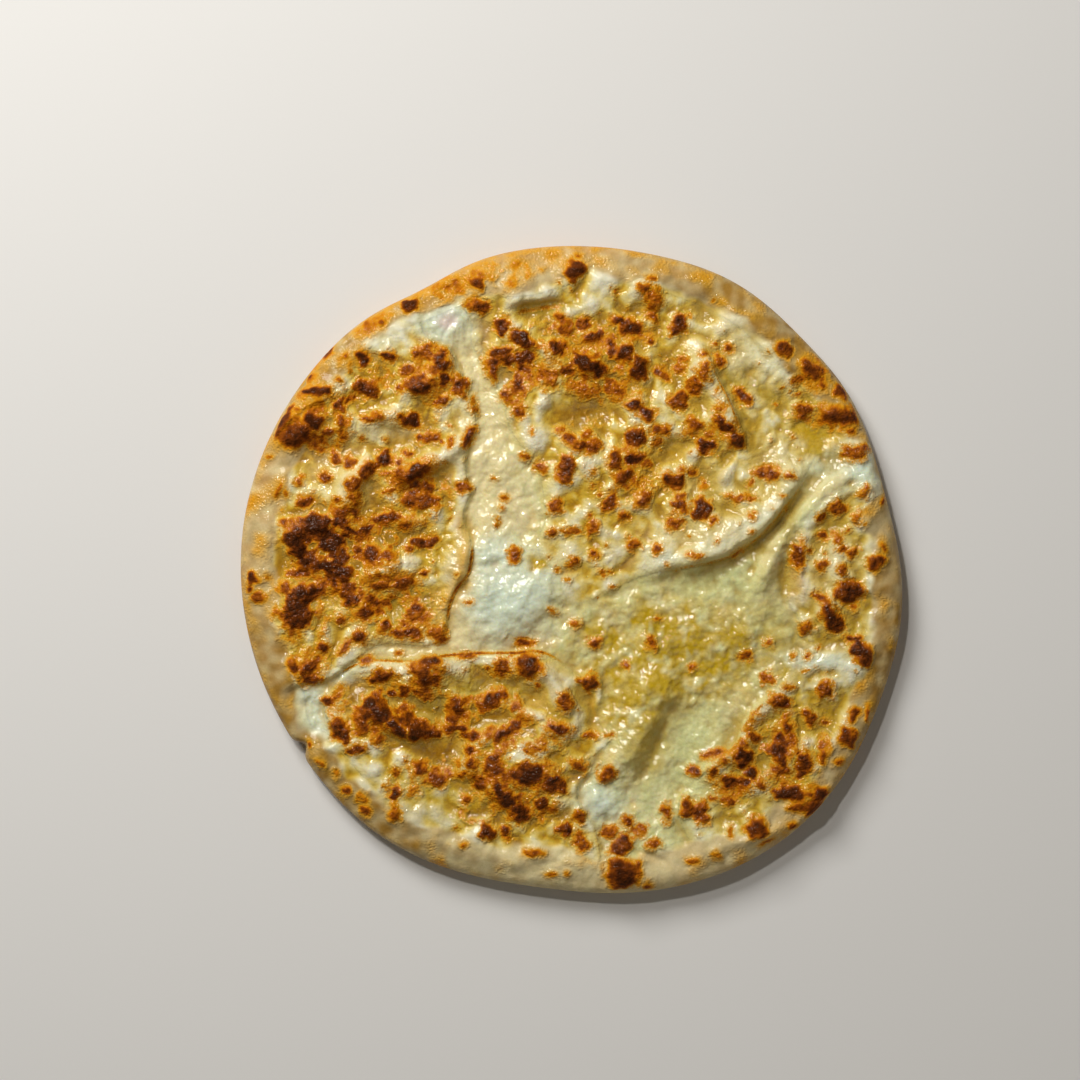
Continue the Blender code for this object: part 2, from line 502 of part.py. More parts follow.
def cut(obj, cutter, operation):
    modifier = obj.modifiers.new(cutter.name, "BOOLEAN")
    modifier.operation = operation
    modifier.solver = "EXACT"
    modifier.object = cutter


def material(name, finish):
    colour, roughness = finish
    made = bpy.data.materials.new(name)
    made.use_nodes = True
    shader = made.node_tree.nodes["Principled BSDF"]
    shader.inputs["Base Color"].default_value = (*colour, 1.0)
    shader.inputs["Roughness"].default_value = roughness
    shader.inputs["Metallic"].default_value = 0.0
    return made


def piece(name, whole, surface):
    """A copy of the whole bread, to be cut down to one piece of it."""
    obj = add_object(name, whole.copy())
    obj.data.name = name
    obj.data.materials.clear()
    obj.data.materials.append(surface)
    obj.data.shade_smooth()
    obj.data.set_sharp_from_angle(angle=math.radians(50))
    return obj


def build():
    for obj in list(bpy.data.objects):
        bpy.data.objects.remove(obj)
    dough = material("dough", DOUGH)
    molten = material("molten_cheese", MOLTEN_CHEESE)
    baked = material("baked_cheese", BAKED_CHEESE)
    whole = whole_mesh()
    above = 40.0
    slab_top = BASE_THICKNESS + FILLING_THICKNESS

    hollow = prism("hollow_cutter", hollow_outline(0.0), BASE_THICKNESS, above)
    inside = prism("inside_cutter", hollow_outline(GAP), BASE_THICKNESS + GAP, above)
    cut(piece("bread", whole, dough), hollow, "DIFFERENCE")
    filling = piece("molten_cheese", whole, molten)
    cut(filling, inside, "INTERSECT")
    for name, (edge, _, _) in LOBES.items():
        outline = counter_clockwise(lobe_outline(edge))
        lobe = piece(name, whole, baked)
        cut(lobe, prism(name + "_cutter", outline, slab_top + GAP, above), "INTERSECT")
        cut(lobe, inside, "INTERSECT")
        cut(filling, prism(name + "_room", grown(outline, GAP), slab_top, above), "DIFFERENCE")


if __name__ == "__main__":
    build()
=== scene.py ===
"""The looks of the megrelian khachapuri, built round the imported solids.

Six pieces stand for the six solids: the bread with its rim, the molten cheese and the four
browned lobes. Their shared surface is worked out on one grid of heights and colours, so that
they meet without a slit. Lengths are millimetres, seen from above with +X right and +Y up,
angles in degrees counter-clockwise from +X. CENTRE moves them to the solids' frame, in metres.
"""
import math

import bpy
import numpy as np
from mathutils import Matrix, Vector


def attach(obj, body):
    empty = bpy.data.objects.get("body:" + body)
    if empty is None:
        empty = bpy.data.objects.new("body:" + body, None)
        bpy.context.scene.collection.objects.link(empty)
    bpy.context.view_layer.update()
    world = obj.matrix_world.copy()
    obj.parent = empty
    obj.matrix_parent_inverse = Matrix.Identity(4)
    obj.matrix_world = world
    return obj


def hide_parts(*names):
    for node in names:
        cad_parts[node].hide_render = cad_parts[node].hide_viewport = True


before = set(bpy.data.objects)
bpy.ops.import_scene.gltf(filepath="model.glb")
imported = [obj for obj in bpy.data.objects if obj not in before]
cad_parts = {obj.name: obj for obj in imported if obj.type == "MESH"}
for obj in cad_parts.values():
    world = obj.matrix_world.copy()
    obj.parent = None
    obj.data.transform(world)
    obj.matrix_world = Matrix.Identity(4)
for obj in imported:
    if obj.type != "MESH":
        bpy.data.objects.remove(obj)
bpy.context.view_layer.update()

MM = 0.001
CELL = 0.46     # spacing of the grid that holds the surface

# The solids' driving dimensions.
BREAD_RADIUS = 139.75
RIM_WIDTH = 15.0
RIM_HEIGHT = 15.0
SIDE_HEIGHT = 5.8
ROUNDNESS = 2.5                        # of the rim's side: 2 is elliptic, more is squarer
BASE_INSET = 7.0
BASE_THICKNESS = 6.0
FILLING_THICKNESS = 3.7
CHEESE_HEIGHT = 13.2
LOBE_REACH = 154.0
LEAST_RIM = 2.6                        # rim left where the molten cheese reaches the edge
LEAST_SLOPE = 8.0                      # the rim's inner slope is at least this wide
HIGHEST = 21.4                         # no form rises above this
SOFTLY_HELD = 1.6                      # and this far below it they begin to be held down
OUTLINE_ROOM = 0.15                    # how far the skin stays inside the solid's outline

OUTLINE_SWELLS = [
    (312, 30, 8.8), (352, 14, 2.8), (14, 8, -0.8), (33, 10, 1.9), (60, 14, 2.9),
    (118, 9, -3.0), (175, 38, 3.2), (213.4, 1.4, -3.5), (232, 14, 1.7), (264, 14, -2.4),
]
RIM_SWELLS = [
    (18.3, 4.2, -40.0), (60, 20, 1.0), (99, 9, 6.0), (128, 14, -2.5), (178, 24, 3.5),
    (211, 5.5, -5.0), (262, 22, 6.0), (292, 12, 3.0),
]
RIM_LUMPS = [
    (80, 9, 0.8), (103, 8, 1.4), (124, 7, -0.6), (140, 9, 0.9), (158, 6, -0.8), (172, 10, 0.9),
    (190, 7, -0.6), (204, 8, 0.7), (225, 9, -0.9), (243, 8, 0.5), (258, 10, 0.8), (277, 8, -0.5),
    (293, 9, 0.6), (318, 9, 0.5), (336, 8, -0.5), (354, 9, 0.7), (33, 10, -0.8), (52, 9, 0.4),
]
UPPER_EDGE = [
    (146, 54), (132, 50.5), (122, 48), (113, 50), (106, 49.5), (102, 44), (97, 34), (90, 24),
    (82, 15), (72, 7), (60, 2.5), (46, 0), (32, -2.5), (20, -8), (10, -13), (0, -14), (-4, -8),
    (-6, -1), (-13, 5), (-14, 13), (-11, 22), (-12, 32), (-14, 42), (-19, 50), (-25, 58),
    (-28, 66), (-28, 72), (-32, 79), (-36, 85), (-40, 92), (-43, 98), (-43, 105), (-46, 113),
    (-52, 140),
]
LEFT_EDGE = [
    (-77, 132), (-67, 114), (-64, 103), (-60, 98), (-53, 95), (-49, 88), (-46, 80), (-43, 73),
    (-41, 66), (-42, 58), (-45, 50), (-45, 40), (-43, 33), (-46, 26), (-46, 20), (-43.5, 14),
    (-43, 5), (-45, -3), (-50, -9), (-53, -17), (-54, -25), (-57, -31), (-64, -33), (-74, -32),
    (-83, -32.5), (-89, -36), (-94, -40), (-100, -45), (-107, -48.5), (-114, -49), (-136, -57),
]
LOWER_EDGE = [
    (-126, -84), (-112, -77), (-104, -75), (-98, -72), (-103, -67), (-106, -62), (-106, -55),
    (-102, -49.5), (-97, -44), (-92, -40.5), (-85, -38.5), (-72, -39), (-60, -37.5),
    (-48, -36.5), (-35, -36), (-25, -36), (-16, -35.3), (-8, -38), (-2, -42), (3, -46),
    (8, -44.5), (13, -48), (13, -55), (11, -62), (13, -68), (16, -74), (11, -79), (8, -87),
    (3, -93), (3, -100), (7, -107), (11, -114), (14, -140),
]
RIGHT_EDGE = [
    (60, -134), (53, -121), (49, -113), (46, -105), (47, -98), (52, -92), (57, -84), (62, -79),
    (70, -76), (74, -69), (78, -62), (83.5, -56), (89, -49), (93, -42), (95, -35), (98, -27),
    (97, -20), (93, -14), (92.5, -5), (93, 5), (97, 14), (103, 23), (110, 29), (116, 33.5),
    (125, 36.5), (145, 38),
]
# Node: cut edge, how far the lobe stands above the molten cheese, and over what width.
LOBES = {
    "baked_cheese_upper": (UPPER_EDGE, 1.6, 6.5),
    "baked_cheese_left": (LEFT_EDGE, 2.0, 3.4),
    "baked_cheese_lower": (LOWER_EDGE, 2.4, 3.6),
    "baked_cheese_right": (RIGHT_EDGE, 2.1, 4.5),
}

# Rolls, ridges and creases: (points along the crest, height, width of the left side and of
# the right side as the line runs). A steep side is a narrow one, a crease has height below 0.
FOLDS = [
    ([(112, 57), (105, 48), (98, 37), (88, 27), (77, 17), (66, 10), (54, 5), (40, 1), (24, -3)],
     6.5, 4.6, 11.0),
    ([(105, 52), (99, 35), (91, 23), (82, 13), (70, 4), (54, -1)], -2.3, 2.6, 2.6),
    ([(130, 45), (114, 38), (104, 29), (96, 19), (89, 9), (84, 0), (80, -10), (74, -20)],
     5.2, 6.5, 4.2),
    ([(46, -36), (37, -56), (30, -71), (22, -84), (14, -96)], 5.0, 6.4, 13.0),
    ([(46, -52), (40, -66), (35, -79), (30, -89), (25, -98)], -1.7, 2.6, 2.6),
    ([(-98, -46), (-86, -42.5), (-72, -43), (-60, -42), (-48, -41), (-35, -40.5)],
     3.2, 3.4, 6.5),
    ([(-30, -39.5), (-19, -41), (-10, -46.5), (-4, -54), (1, -61), (6, -70)], 5.4, 4.6, 5.6),
    ([(-50, -50), (-38, -49), (-27, -50), (-17, -55), (-9, -61)], -3.4, 5.0, 5.0),
    ([(-26, -58), (-14, -63), (-4, -68), (8, -72)], 3.4, 3.0, 5.0),
    ([(5, -50), (9, -58), (11, -66), (16, -74)], -1.8, 2.2, 2.2),
    ([(97, 20), (94, 8), (93.5, -4), (95, -18)], -2.6, 3.4, 3.4),
    ([(102, 22), (99, 8), (98.5, -6), (101, -20)], 1.6, 6.0, 3.0),
    ([(-4, 119), (-13, 116.5), (-20, 115.5), (-30, 112.5)], 3.1, 1.6, 7.5),
    ([(-2, 113), (-14, 111.5), (-24, 110)], -1.6, 3.5, 3.0),
    ([(-100, 75), (-112, 71), (-120, 65), (-129, 56)], 2.0, 1.4, 6.0),
    ([(50, 102), (53, 98), (58, 90), (62, 82), (66, 74), (70, 64), (73, 55), (74, 48)],
     4.8, 2.0, 10.0),
    ([(74, 55), (70, 46), (65.5, 40), (63, 33)], 2.3, 5.0, 1.8),
    ([(92, -45), (84, -55), (76, -65), (71, -76), (58, -85), (50, -94)], 3.1, 7.0, 2.2),
    ([(-44.5, 31), (-48, 20), (-46, 8), (-48.5, -3), (-53.5, -12), (-57, -26)], 2.0, 2.4, 8.0),
    ([(-101, 22), (-97, 30), (-94, 38), (-89, 44), (-83, 50)], 4.5, 4.6, 4.6),
    ([(-78, 34), (-70, 40), (-62, 45), (-53, 49), (-46, 56), (-41, 63)], 4.4, 6.0, 3.4),
    ([(-74, 31), (-64, 37), (-54, 42), (-47, 48)], -2.5, 4.5, 4.5),
    ([(-79, 73), (-70, 76), (-62, 81), (-56, 88), (-54, 97)], 3.5, 5.0, 3.8),
    ([(-104, 56), (-92, 60), (-80, 66), (-66, 69)], 3.1, 6.5, 5.0),
    ([(-122, 44), (-112, 52), (-98, 53)], -2.7, 5.0, 5.0),
    ([(-92, -54), (-82, -62), (-72, -69), (-58, -72)], 4.8, 5.6, 3.0),
    ([(-82, -52), (-72, -58), (-60, -62), (-48, -63)], -2.6, 4.5, 4.5),
    ([(-40, -90), (-30, -97), (-20, -106)], 3.5, 4.4, 4.0),
    ([(-26, -64), (-37, -72), (-43, -82), (-42, -92)], 3.1, 4.2, 4.0),
    ([(-96, 0), (-84, -2), (-72, 3), (-60, 2)], 2.5, 4.0, 6.0),
    ([(-92, -12), (-80, -16), (-68, -14), (-58, -20)], -2.5, 5.0, 5.0),
    ([(-84, 24), (-72, 20), (-62, 22), (-52, 30)], 2.2, 4.0, 5.0),
    ([(-20, 92), (-8, 94), (4, 90), (16, 94)], 2.3, 4.5, 6.0),
    ([(-14, 70), (0, 66), (14, 68), (28, 62)], -2.0, 5.5, 5.5),
    ([(-8, 46), (6, 44), (18, 50), (30, 48)], 2.0, 4.5, 6.0),
    ([(40, 60), (46, 48), (56, 40), (58, 28)], -2.2, 5.0, 5.0),
    ([(34, 96), (44, 86), (52, 76), (60, 62)], -2.3, 5.5, 5.5),
    ([(86, 74), (92, 84), (100, 92), (104, 102)], 2.2, 4.0, 5.0),
    ([(72, 92), (80, 80), (88, 72), (96, 68)], -1.8, 4.0, 4.0),
    ([(110, 8), (114, -4), (110, -18), (114, -30)], 2.3, 5.5, 4.0),
    ([(70, -96), (84, -90), (96, -78), (104, -64)], 2.3, 5.0, 5.5),
    ([(-66, -92), (-56, -84), (-50, -76), (-44, -66)], -1.8, 4.5, 4.5),
    ([(-88, -92), (-78, -84), (-66, -80)], 1.8, 5.0, 5.0),
    ([(2, 91), (9, 86), (18, 84)], 2.0, 4.0, 4.0),
    ([(20, 98), (27, 91), (32, 83)], 2.5, 4.5, 5.0),
    ([(-34, 108), (-22, 101), (-16, 92)], 1.8, 5.0, 5.0),
    ([(62, 66), (68, 60), (73, 51)], 2.2, 3.5, 5.0),
    ([(-60, -120), (-38, -125), (-10, -125), (14, -128)], 1.4, 5.0, 5.0),
    ([(58, -122), (72, -117), (85, -114), (98, -104)], 1.7, 2.4, 5.5),
    ([(24, -120), (34, -123), (44, -127)], -0.9, 1.6, 1.6),
    ([(-128, 52), (-126.5, 32), (-126, 8), (-128, -22)], -1.4, 3.0, 4.5),
    ([(36, -2), (50, 1), (64, 4), (76, 10)], -0.9, 2.2, 2.2),
    ([(-44, 66), (-38, 52), (-28, 40), (-22, 28)], 1.6, 6.0, 6.0),
]
# Domes and hollows: (x, y, half-length along x, half-length along y, height).
DOMES = [
    (-54, 106, 10, 9, 2.6), (-28, -14, 18, 15, 5.4), (-34, 8, 9, 8, 2.6), (-30, 24, 11, 8, 1.5),
    (-38, 43, 11, 8, 1.4), (-13, -6, 9, 9, 2.4), (12, -100, 9, 8, 2.6), (127, 43, 12, 9, 2.2),
    (83, 88, 11, 8, 1.9), (-20, -83, 16, 15, 4.6), (-104, 10, 15, 15, 2.0),
    (-112, 60, 12, 9, 1.4), (58.5, 113, 6, 5, -2.2), (-8, 131, 6, 4, -1.0), (104, 57, 8, 7, -2.2),
    (50, -80, 9, 22, -1.6), (-110, -64, 6, 9, -1.0), (-20, -31.5, 9, 3.0, -1.7),
    (60, -3, 20, 6, -0.7), (107, -39, 14, 4.5, 1.3), (28, -47, 9, 7, 0.9), (4, -27, 9, 6, 0.9),
    (20, -17, 8, 5, 0.8), (70, -30, 10, 6, 0.9), (50, -30, 9, 5, 0.8), (12, 30, 9, 7, 0.9),
    (90, 105, 12, 8, 1.0), (68, 108, 9, 8, 1.0), (-78, 5, 10, 7, 1.3), (-70, -12, 10, 6, 0.9),
    (-60, 62, 12, 6, 0.9), (118, 2, 12, 10, 1.2), (75, -100, 10, 7, 0.9), (-60, -104, 14, 8, 1.0),
    (10, 118, 12, 7, 0.9), (-61, -45, 9, 9, 2.0), (-104, 12, 9, 8, -1.8), (-41, 0, 6, 15, 1.4),
    (-47, -20, 6, 9, 1.0),
]
# Unevenness of the whole top: (distance between the lumps, height, seed).
UNEVENNESS = [(30.0, 0.9, 3), (17.0, 0.9, 8), (9.5, 0.6, 21), (5.5, 0.32, 33)]
# Soft puffs with creases between them: (distance between the puffs, height, seed).
PUFFS = [(21.0, 1.7, 91), (11.5, 1.5, 92), (6.0, 0.45, 93)]

# Browned blisters: (x, y, length, width, how dark, direction of the length where it isn't 0).
# 1 is golden, 2 brown, 3 nearly black. The one at (-19.5, -31.5) is painted shadow under the big
# dome.
SPOTS = [
    # upper left
    (-69.5, 113.5, 7, 7, 3), (-81.5, 106.5, 3, 2.5, 2.3), (-106, 94, 8, 6, 2.5),
    (-97, 91.7, 2, 2, 1.7), (-89.5, 90, 7, 5, 2.9, -60), (-78, 91.3, 7, 5.5, 2.9),
    (-66.5, 93, 4, 4, 2), (-62, 92.5, 7, 7, 1.5), (-56.5, 91.5, 7, 6, 2.4),
    (-56, 87.5, 6, 5, 2.5), (-54.5, 83, 6, 5, 2.5), (-55, 80, 4, 4, 2.3), (-95, 84.5, 3, 3, 1),
    (-99.5, 81, 3, 3, 1.6), (-113, 83.3, 2.5, 2.5, 2.6), (-109, 76.5, 15, 5, 3),
    (-88, 77.5, 10, 9, 2.7), (-95, 73.5, 6, 3, 1.8, 30), (-70, 85.5, 8, 4, 2, 20),
    (-66, 79, 12, 8, 2.4), (-73.5, 77.5, 5, 3, 2), (-100, 71, 5, 6, 2.5), (-99, 64, 4.5, 6, 2.5),
    (-110.5, 64, 10, 6, 3, -20), (-104.5, 59, 6, 4, 2.2), (-118, 68.7, 3, 1.5, 1.8),
    (-124, 64, 16, 6, 2.5, 62), (-118.5, 57.5, 13, 9, 2.5), (-85, 65.5, 9, 3.5, 2, 15),
    (-69.5, 64.5, 9, 6, 2.7), (-56, 73, 8, 4, 2, 20), (-62, 56.5, 11, 5, 1.8, 15),
    (-90, 56.3, 2.5, 1.5, 1.6), (-80, 55.8, 1.5, 1.5, 1.6),
    # top
    (-40.5, 124, 7, 6.5, 2.3, 45), (-40, 113.3, 10, 7, 2), (1.5, 129, 10, 8, 3, 70),
    (3.3, 135.2, 2.5, 1.5, 2), (-30, 105, 7, 7, 2.8), (-22, 99.5, 8, 6, 2.8),
    (-19, 97, 7, 5, 2.8), (-29, 92, 12, 6, 2.3), (-20, 91, 9, 6, 2.6, 10), (-33.5, 86, 5, 8, 2.2),
    (-22.5, 67.5, 7, 5, 1.6), (-10, 82, 10, 10, 1.5), (-6, 95.5, 9, 6, 2.7, -30),
    (-5, 108.5, 5, 5, 1.7), (-2, 104, 6, 8, 1.6), (5.5, 105.5, 7, 4.5, 2.2),
    (10, 100.5, 11, 4.5, 2.2, 20), (19.5, 107.5, 6, 4, 2.6), (25, 104, 10, 7, 2.5, -35),
    (34, 125, 4, 3, 1.6), (31, 121, 6, 5, 1.8), (35, 116, 8, 10, 1.5), (35, 109, 5, 6, 2),
    (46.5, 105.5, 12, 6, 2.7, 55), (34, 98, 3, 3, 1.8), (7, 88, 15, 6, 2.8, -30),
    (23, 93, 6, 8, 2.7), (29, 87, 8, 10, 2.9, -20), (12, 86, 8, 6, 2.2), (-3, 86, 6, 5, 2.2),
    (27, 71, 7, 5, 2.8), (32, 67, 9, 6, 2.8, -35), (27, 57, 10, 8, 2.6), (38, 60, 8, 5, 2),
    (37, 55, 5, 4, 1.7), (46, 73, 8, 9, 2.3), (39, 84, 8, 4, 2, -40), (47, 88, 6, 8, 1.6),
    (6, 58.5, 5, 4, 1.7), (8, 53.5, 9, 6, 2.2), (0, 55, 10, 4, 2, -35), (-5, 60, 5, 3, 1.6),
    (-44, 57, 10, 4, 2.3, 65), (-48, 78, 7, 8, 2.4), (-42, 70, 4, 8, 1.5),
    # upper right
    (57, 92.5, 3, 2, 2), (61.5, 97, 3, 2, 1.6), (67.5, 95, 4, 3, 1.9, 30), (62.5, 92, 3, 3, 1.8),
    (63.5, 89, 6, 4, 2), (56.5, 85, 8, 6, 1.9, 60), (52.5, 78.5, 6, 8, 1.9),
    (59.5, 81, 1, 1, 2.5), (73.5, 74.5, 9, 4.5, 2.3, -45), (63, 69, 4, 3, 1.6),
    (63.5, 63.5, 6, 5, 2.7, -25), (67.5, 60.5, 6, 5.5, 2.7, -55), (71, 55.5, 7, 5.5, 2.7, -60),
    (53, 62, 7, 7, 1.9), (58, 53, 8, 6, 2.6), (91, 94.5, 7.5, 7.5, 2.2), (103, 85, 11, 8, 2, -55),
    (108, 80, 3, 5, 2), (97, 81.5, 8, 3, 1.5, 25), (116, 77, 7, 6, 2.4, -45),
    (97, 75.5, 3, 2, 1.5), (100, 68, 8, 6, 2), (113, 66, 14, 6, 2), (121, 66, 5, 5, 2.2),
    (120, 59, 4, 3, 1.7), (123, 51.5, 12, 4, 1.8),
    # left
    (-130, 48.5, 3, 2, 1.3), (-101, 48, 4, 4, 2.2), (-95.5, 46, 5, 5, 2.2),
    (-105.5, 40, 4, 4, 2.3), (-117, 38, 3, 4, 2), (-126, 34, 6, 2.5, 1.8, 70),
    (-114.5, 29.5, 8, 4.5, 2.3, 30), (-100.5, 29.5, 3.5, 3, 1.8), (-80.5, 48, 7, 6, 2.7),
    (-74, 46, 4, 3, 1.8), (-79, 41, 6, 3, 1.8), (-70, 50, 6, 3, 1.8), (-87, 43, 12, 6, 2.3, 45),
    (-93, 37, 7, 5, 2.3, 20), (-93, 31, 6, 8, 1.7), (-92.5, 24, 5, 5, 2.3),
    (-66, 42, 14, 6, 2.4, 25), (-64, 36, 12, 6, 2.3), (-78, 34, 8, 2, 1.6, 25),
    (-65, 30, 16, 9, 2), (-83, 21.5, 6, 4, 2.2), (-78, 22.5, 10, 5, 2.5, 10),
    (-88, 18, 8, 3, 2.2, 20), (-97, 16, 4, 3, 2.3), (-109, 20, 12, 9, 2.9),
    (-102, 11, 12, 10, 3, 60), (-98, 5, 7, 6, 2.7), (-96, 17, 9, 3, 2.6, -25),
    (-119, 11, 12, 7, 2.6, -50), (-121, 19, 7, 6, 1.5), (-115.5, 2, 7, 6, 2.3),
    (-117, -1.5, 10, 4, 2.2), (-105, 2, 9, 5, 2.8), (-98, -2, 10, 8, 2.7), (-86, 7, 8, 7, 2.2),
    (-79, 6, 8, 5, 1.7), (-69.5, 9, 5, 3, 1.8), (-63, 11.5, 11, 6, 2.4, 5),
    (-63, -1.5, 5, 4, 1.6), (-82, -7, 9, 5, 2.1), (-73, -6, 12, 5, 1.9, 15), (-137, -4, 5, 5, 3),
    (-138.5, -8, 3, 3, 2.8), (-134.5, -12, 6, 4, 2), (-131, -3, 2, 2, 1.6),
    (-122.5, -8, 5, 5, 2.2), (-114, -9, 9, 7, 2.2), (-108, -8.5, 5, 3, 2),
    (-117, -19, 13, 12, 2.8, -60), (-95, -11, 13, 8, 2.4, -75), (-86, -13, 6, 5, 1.8),
    (-88, -18, 6, 6, 2), (-67, -17, 7, 8, 1.8), (-99, -22, 4, 3, 1.8), (-80, -24.5, 6, 5, 2.1),
    (-73, -27.5, 9, 5, 2), (-67, -28, 7, 5, 2.1), (-57, -27.5, 7, 8, 1.8), (-91, -29, 7, 7, 2.2),
    (-97, -33, 10, 3, 2, 50), (-107, -33.5, 7, 5, 2.4), (-112, -42, 12, 5, 2.2, 45),
    (-119.5, -40.5, 6, 6, 2.2), (-112, -47, 9, 5, 2.2), (-74, -36, 3, 2, 1.6),
    (-88, -38.5, 6, 3, 1.8), (-82, -46, 11, 6, 2.3, 10), (-60, -39, 8, 4, 2.2),
    (-63, -46, 10, 8, 2.3),
    # centre
    (-46.5, 35.5, 6, 5, 2), (-33, 39, 3, 2, 1.2), (-2, 43.5, 12, 8, 2.6, 80),
    (-20, 48.5, 4, 3, 1.7), (-13.5, 43.5, 6, 4, 1.8, -60), (-7, 27, 7, 5, 2, -60),
    (19, 47, 6, 8, 2.4), (22, 40, 7, 9, 2.4, -60), (27, 47.5, 9, 5, 2.6), (33, 45, 4, 4, 1.6),
    (44, 38, 10, 7, 2.3), (46, 31, 5, 4, 2), (46.5, 27.5, 8, 6, 2.2), (47.5, 43, 4, 3, 1.8, -30),
    (44, 20, 8, 7, 1.6), (16.5, 29, 8, 5, 2.2, 55), (31, 30, 8, 4, 2, 45), (22.5, 23, 5, 4, 1.8),
    (8, 23, 2, 2, 1.6), (12, 32, 2, 2, 1.6), (9, 18, 6, 6, 1.7), (-8, 16, 5, 3.5, 1.9),
    (0, 16.5, 10, 3, 1.5), (-24.5, 7, 5, 6, 1.9), (-32, 20.5, 3, 4, 1.3),
    (-30, 26.5, 1.5, 1.5, 1.4), (-28.5, 31, 3, 2.5, 1.6), (1, 3, 5, 4, 1.9), (10, 6.5, 4, 4, 1.9),
    (26.5, 11, 5, 5, 1.9), (24.5, 13.5, 2, 2, 1.7), (37, 8.5, 4, 4.5, 2), (16.5, -1, 3, 2, 1.4),
    (18, -7.5, 3, 1.5, 1.4), (-6, 0, 2, 2, 1.8), (-44, -14, 4, 2, 1.3),
    (-8, -18, 4, 1.5, 1.6, -30), (2, -23.5, 4, 4, 1.6), (10, -31.5, 5, 4, 2),
    # Painted shadow under the big dome's lower edge: the entry at (-19.5, -31.5).
    (34.5, -31, 6, 6, 1.7), (37, -21, 4, 2, 1.3), (23.5, -41, 3, 3, 1.9), (-19.5, -31.5, 8, 3, 2),
    (-45, -37, 8, 3, 1.8), (-30, -40, 8, 4, 1.8), (-18.5, -41, 11, 9, 2.5, -60),
    (-30, -43, 8, 5, 2), (8, -48.5, 9, 7, 2.5, -35),
    # right
    (84, 41.5, 12, 5, 2), (93, 40.5, 5, 3, 1.7), (121, 49, 10, 4, 1.8),
    (55.5, 25.5, 10, 8, 2.9, 45), (61, 21.5, 4, 4, 2), (52, 42, 4, 3, 1.8), (57, 37, 3, 6, 1.3),
    (72, 31, 13, 3.5, 1.4), (77, 16, 2, 2, 1.4), (71, 7, 6, 2, 1.5, 30), (53, 6, 8, 3, 1.2),
    (114, 27, 8, 7, 2), (107, 23, 5, 4, 1.6, 45), (125, 33, 6, 6, 1.6), (122.5, 22, 3, 6, 1.9),
    (133.5, 29.5, 2.5, 3, 2), (107.5, 14.5, 5, 3, 2), (114.5, 13.5, 5, 6, 1.6),
    (118.5, 16.5, 2, 2, 1.6), (120.5, 8, 4, 5, 1.8), (116, 9, 5, 4, 1.5),
    (134, 9.5, 4, 2, 2, -50), (97, 6.5, 9, 6, 2.2, 80), (102, 8, 3, 2, 1.8),
    (107.5, 2, 5, 4, 2.1, 30), (130.5, 3, 10, 6, 2.4, 35), (116.5, -0.5, 4, 5, 1.7),
    (119, -9.5, 12, 10, 2.7), (121, -16, 4, 3, 1.8), (108, -13, 10, 4, 1.9, -40),
    (112, -21, 14, 8, 2.7, -50), (100.5, -25, 6, 6, 1.9), (121, -29.5, 8, 3, 2.4),
    (124.5, -36, 12, 8, 2.9, -60), (85, -31.5, 4, 3, 1.5), (74.5, -37, 6, 4, 1.7),
    (84, -47, 6, 5, 1.6), (52, -42, 3, 3, 1.8), (109, -52, 9, 6, 2.3, 60),
    # lower left
    (-112.5, -75.5, 2.5, 3, 2.6), (-104, -56, 6, 5, 2.1), (-99, -69, 11, 8, 2.5, -60),
    (-90, -66, 10, 12, 1.7), (-92, -77, 9, 4, 2.3), (-82.5, -73, 4, 5, 2.1),
    (-87, -57.5, 8, 6, 2.7, -45), (-81.5, -63, 8, 7, 2.8, -40), (-74.5, -68, 9, 7, 2.8, -35),
    (-66, -71, 8, 6, 2.8, -5), (-72, -60, 10, 5, 1.5), (-62, -70, 14, 6, 2.6),
    (-65, -85, 8, 5, 2, -45), (-58, -90.5, 8, 5, 2, -30), (-48.8, -59.5, 6, 4, 2.5),
    (-51, -68, 5, 4, 2.2), (-97, -95, 4, 3.5, 2.6), (-76, -96, 7, 6, 2.9, -70),
    (-76, -87, 5, 4, 1.4), (-68, -95, 5, 6, 1.2), (-108, -83, 6, 3, 1.6, -40),
    (-101, -88, 3, 4, 1.4), (-88, -104, 5, 4, 1.9, -50), (-76, -104, 5, 8, 1.7),
    (-90, -98, 4, 6, 1.2),
    # bottom
    (-33, -55, 11, 6, 2.4, 15), (-24, -58, 5, 6, 1.6), (-48, -68, 6, 4, 2.3),
    (-43.5, -71, 9, 4, 2.3), (-27, -69, 16, 5, 2.1, 40), (-43.5, -77, 5, 4, 2.3),
    (-43.5, -83, 5, 5, 2.3), (-47, -88, 4, 3, 1.9), (-33, -84, 10, 8, 2.2, -70),
    (-39, -91.5, 8, 7, 2.3, -45), (-32, -92.5, 5, 3, 1.7), (-18.5, -87.5, 13.5, 10, 3),
    (-17, -77, 10, 3, 1.3), (-5, -68, 10, 4, 2.4, -15), (8, -71, 6, 3, 1.9), (-3, -57, 6, 8, 2.3),
    (-7, -92, 9, 9, 2.5, 50), (-13, -100, 6, 5, 2.5), (-8, -103, 3, 2, 2),
    (-29, -97, 14, 6, 2.6, -45), (-21.5, -104, 8, 9, 2.6), (-45, -98.5, 4, 3, 2.1),
    (-35.5, -112, 6, 7, 2.8), (-28, -113, 5, 6, 2.6), (-46.5, -118, 2.5, 3, 1.7),
    (-3, -111, 6.5, 7, 2.8), (4, -117, 9, 5, 1.9, -70), (4, -106, 5, 6, 2),
    (15, -87.5, 7, 7, 1.9), (16, -71, 5, 2, 1.3), (16.5, -112.5, 8, 5, 1.9, 20),
    (24, -108, 5, 4, 1.9), (21, -118, 11, 7, 2.5, 50), (29, -112, 8, 6, 1.5),
    (22, -130.5, 16, 13, 2.8), (33, -136, 4, 3, 2.1), (35.5, -118, 6, 4, 1.7),
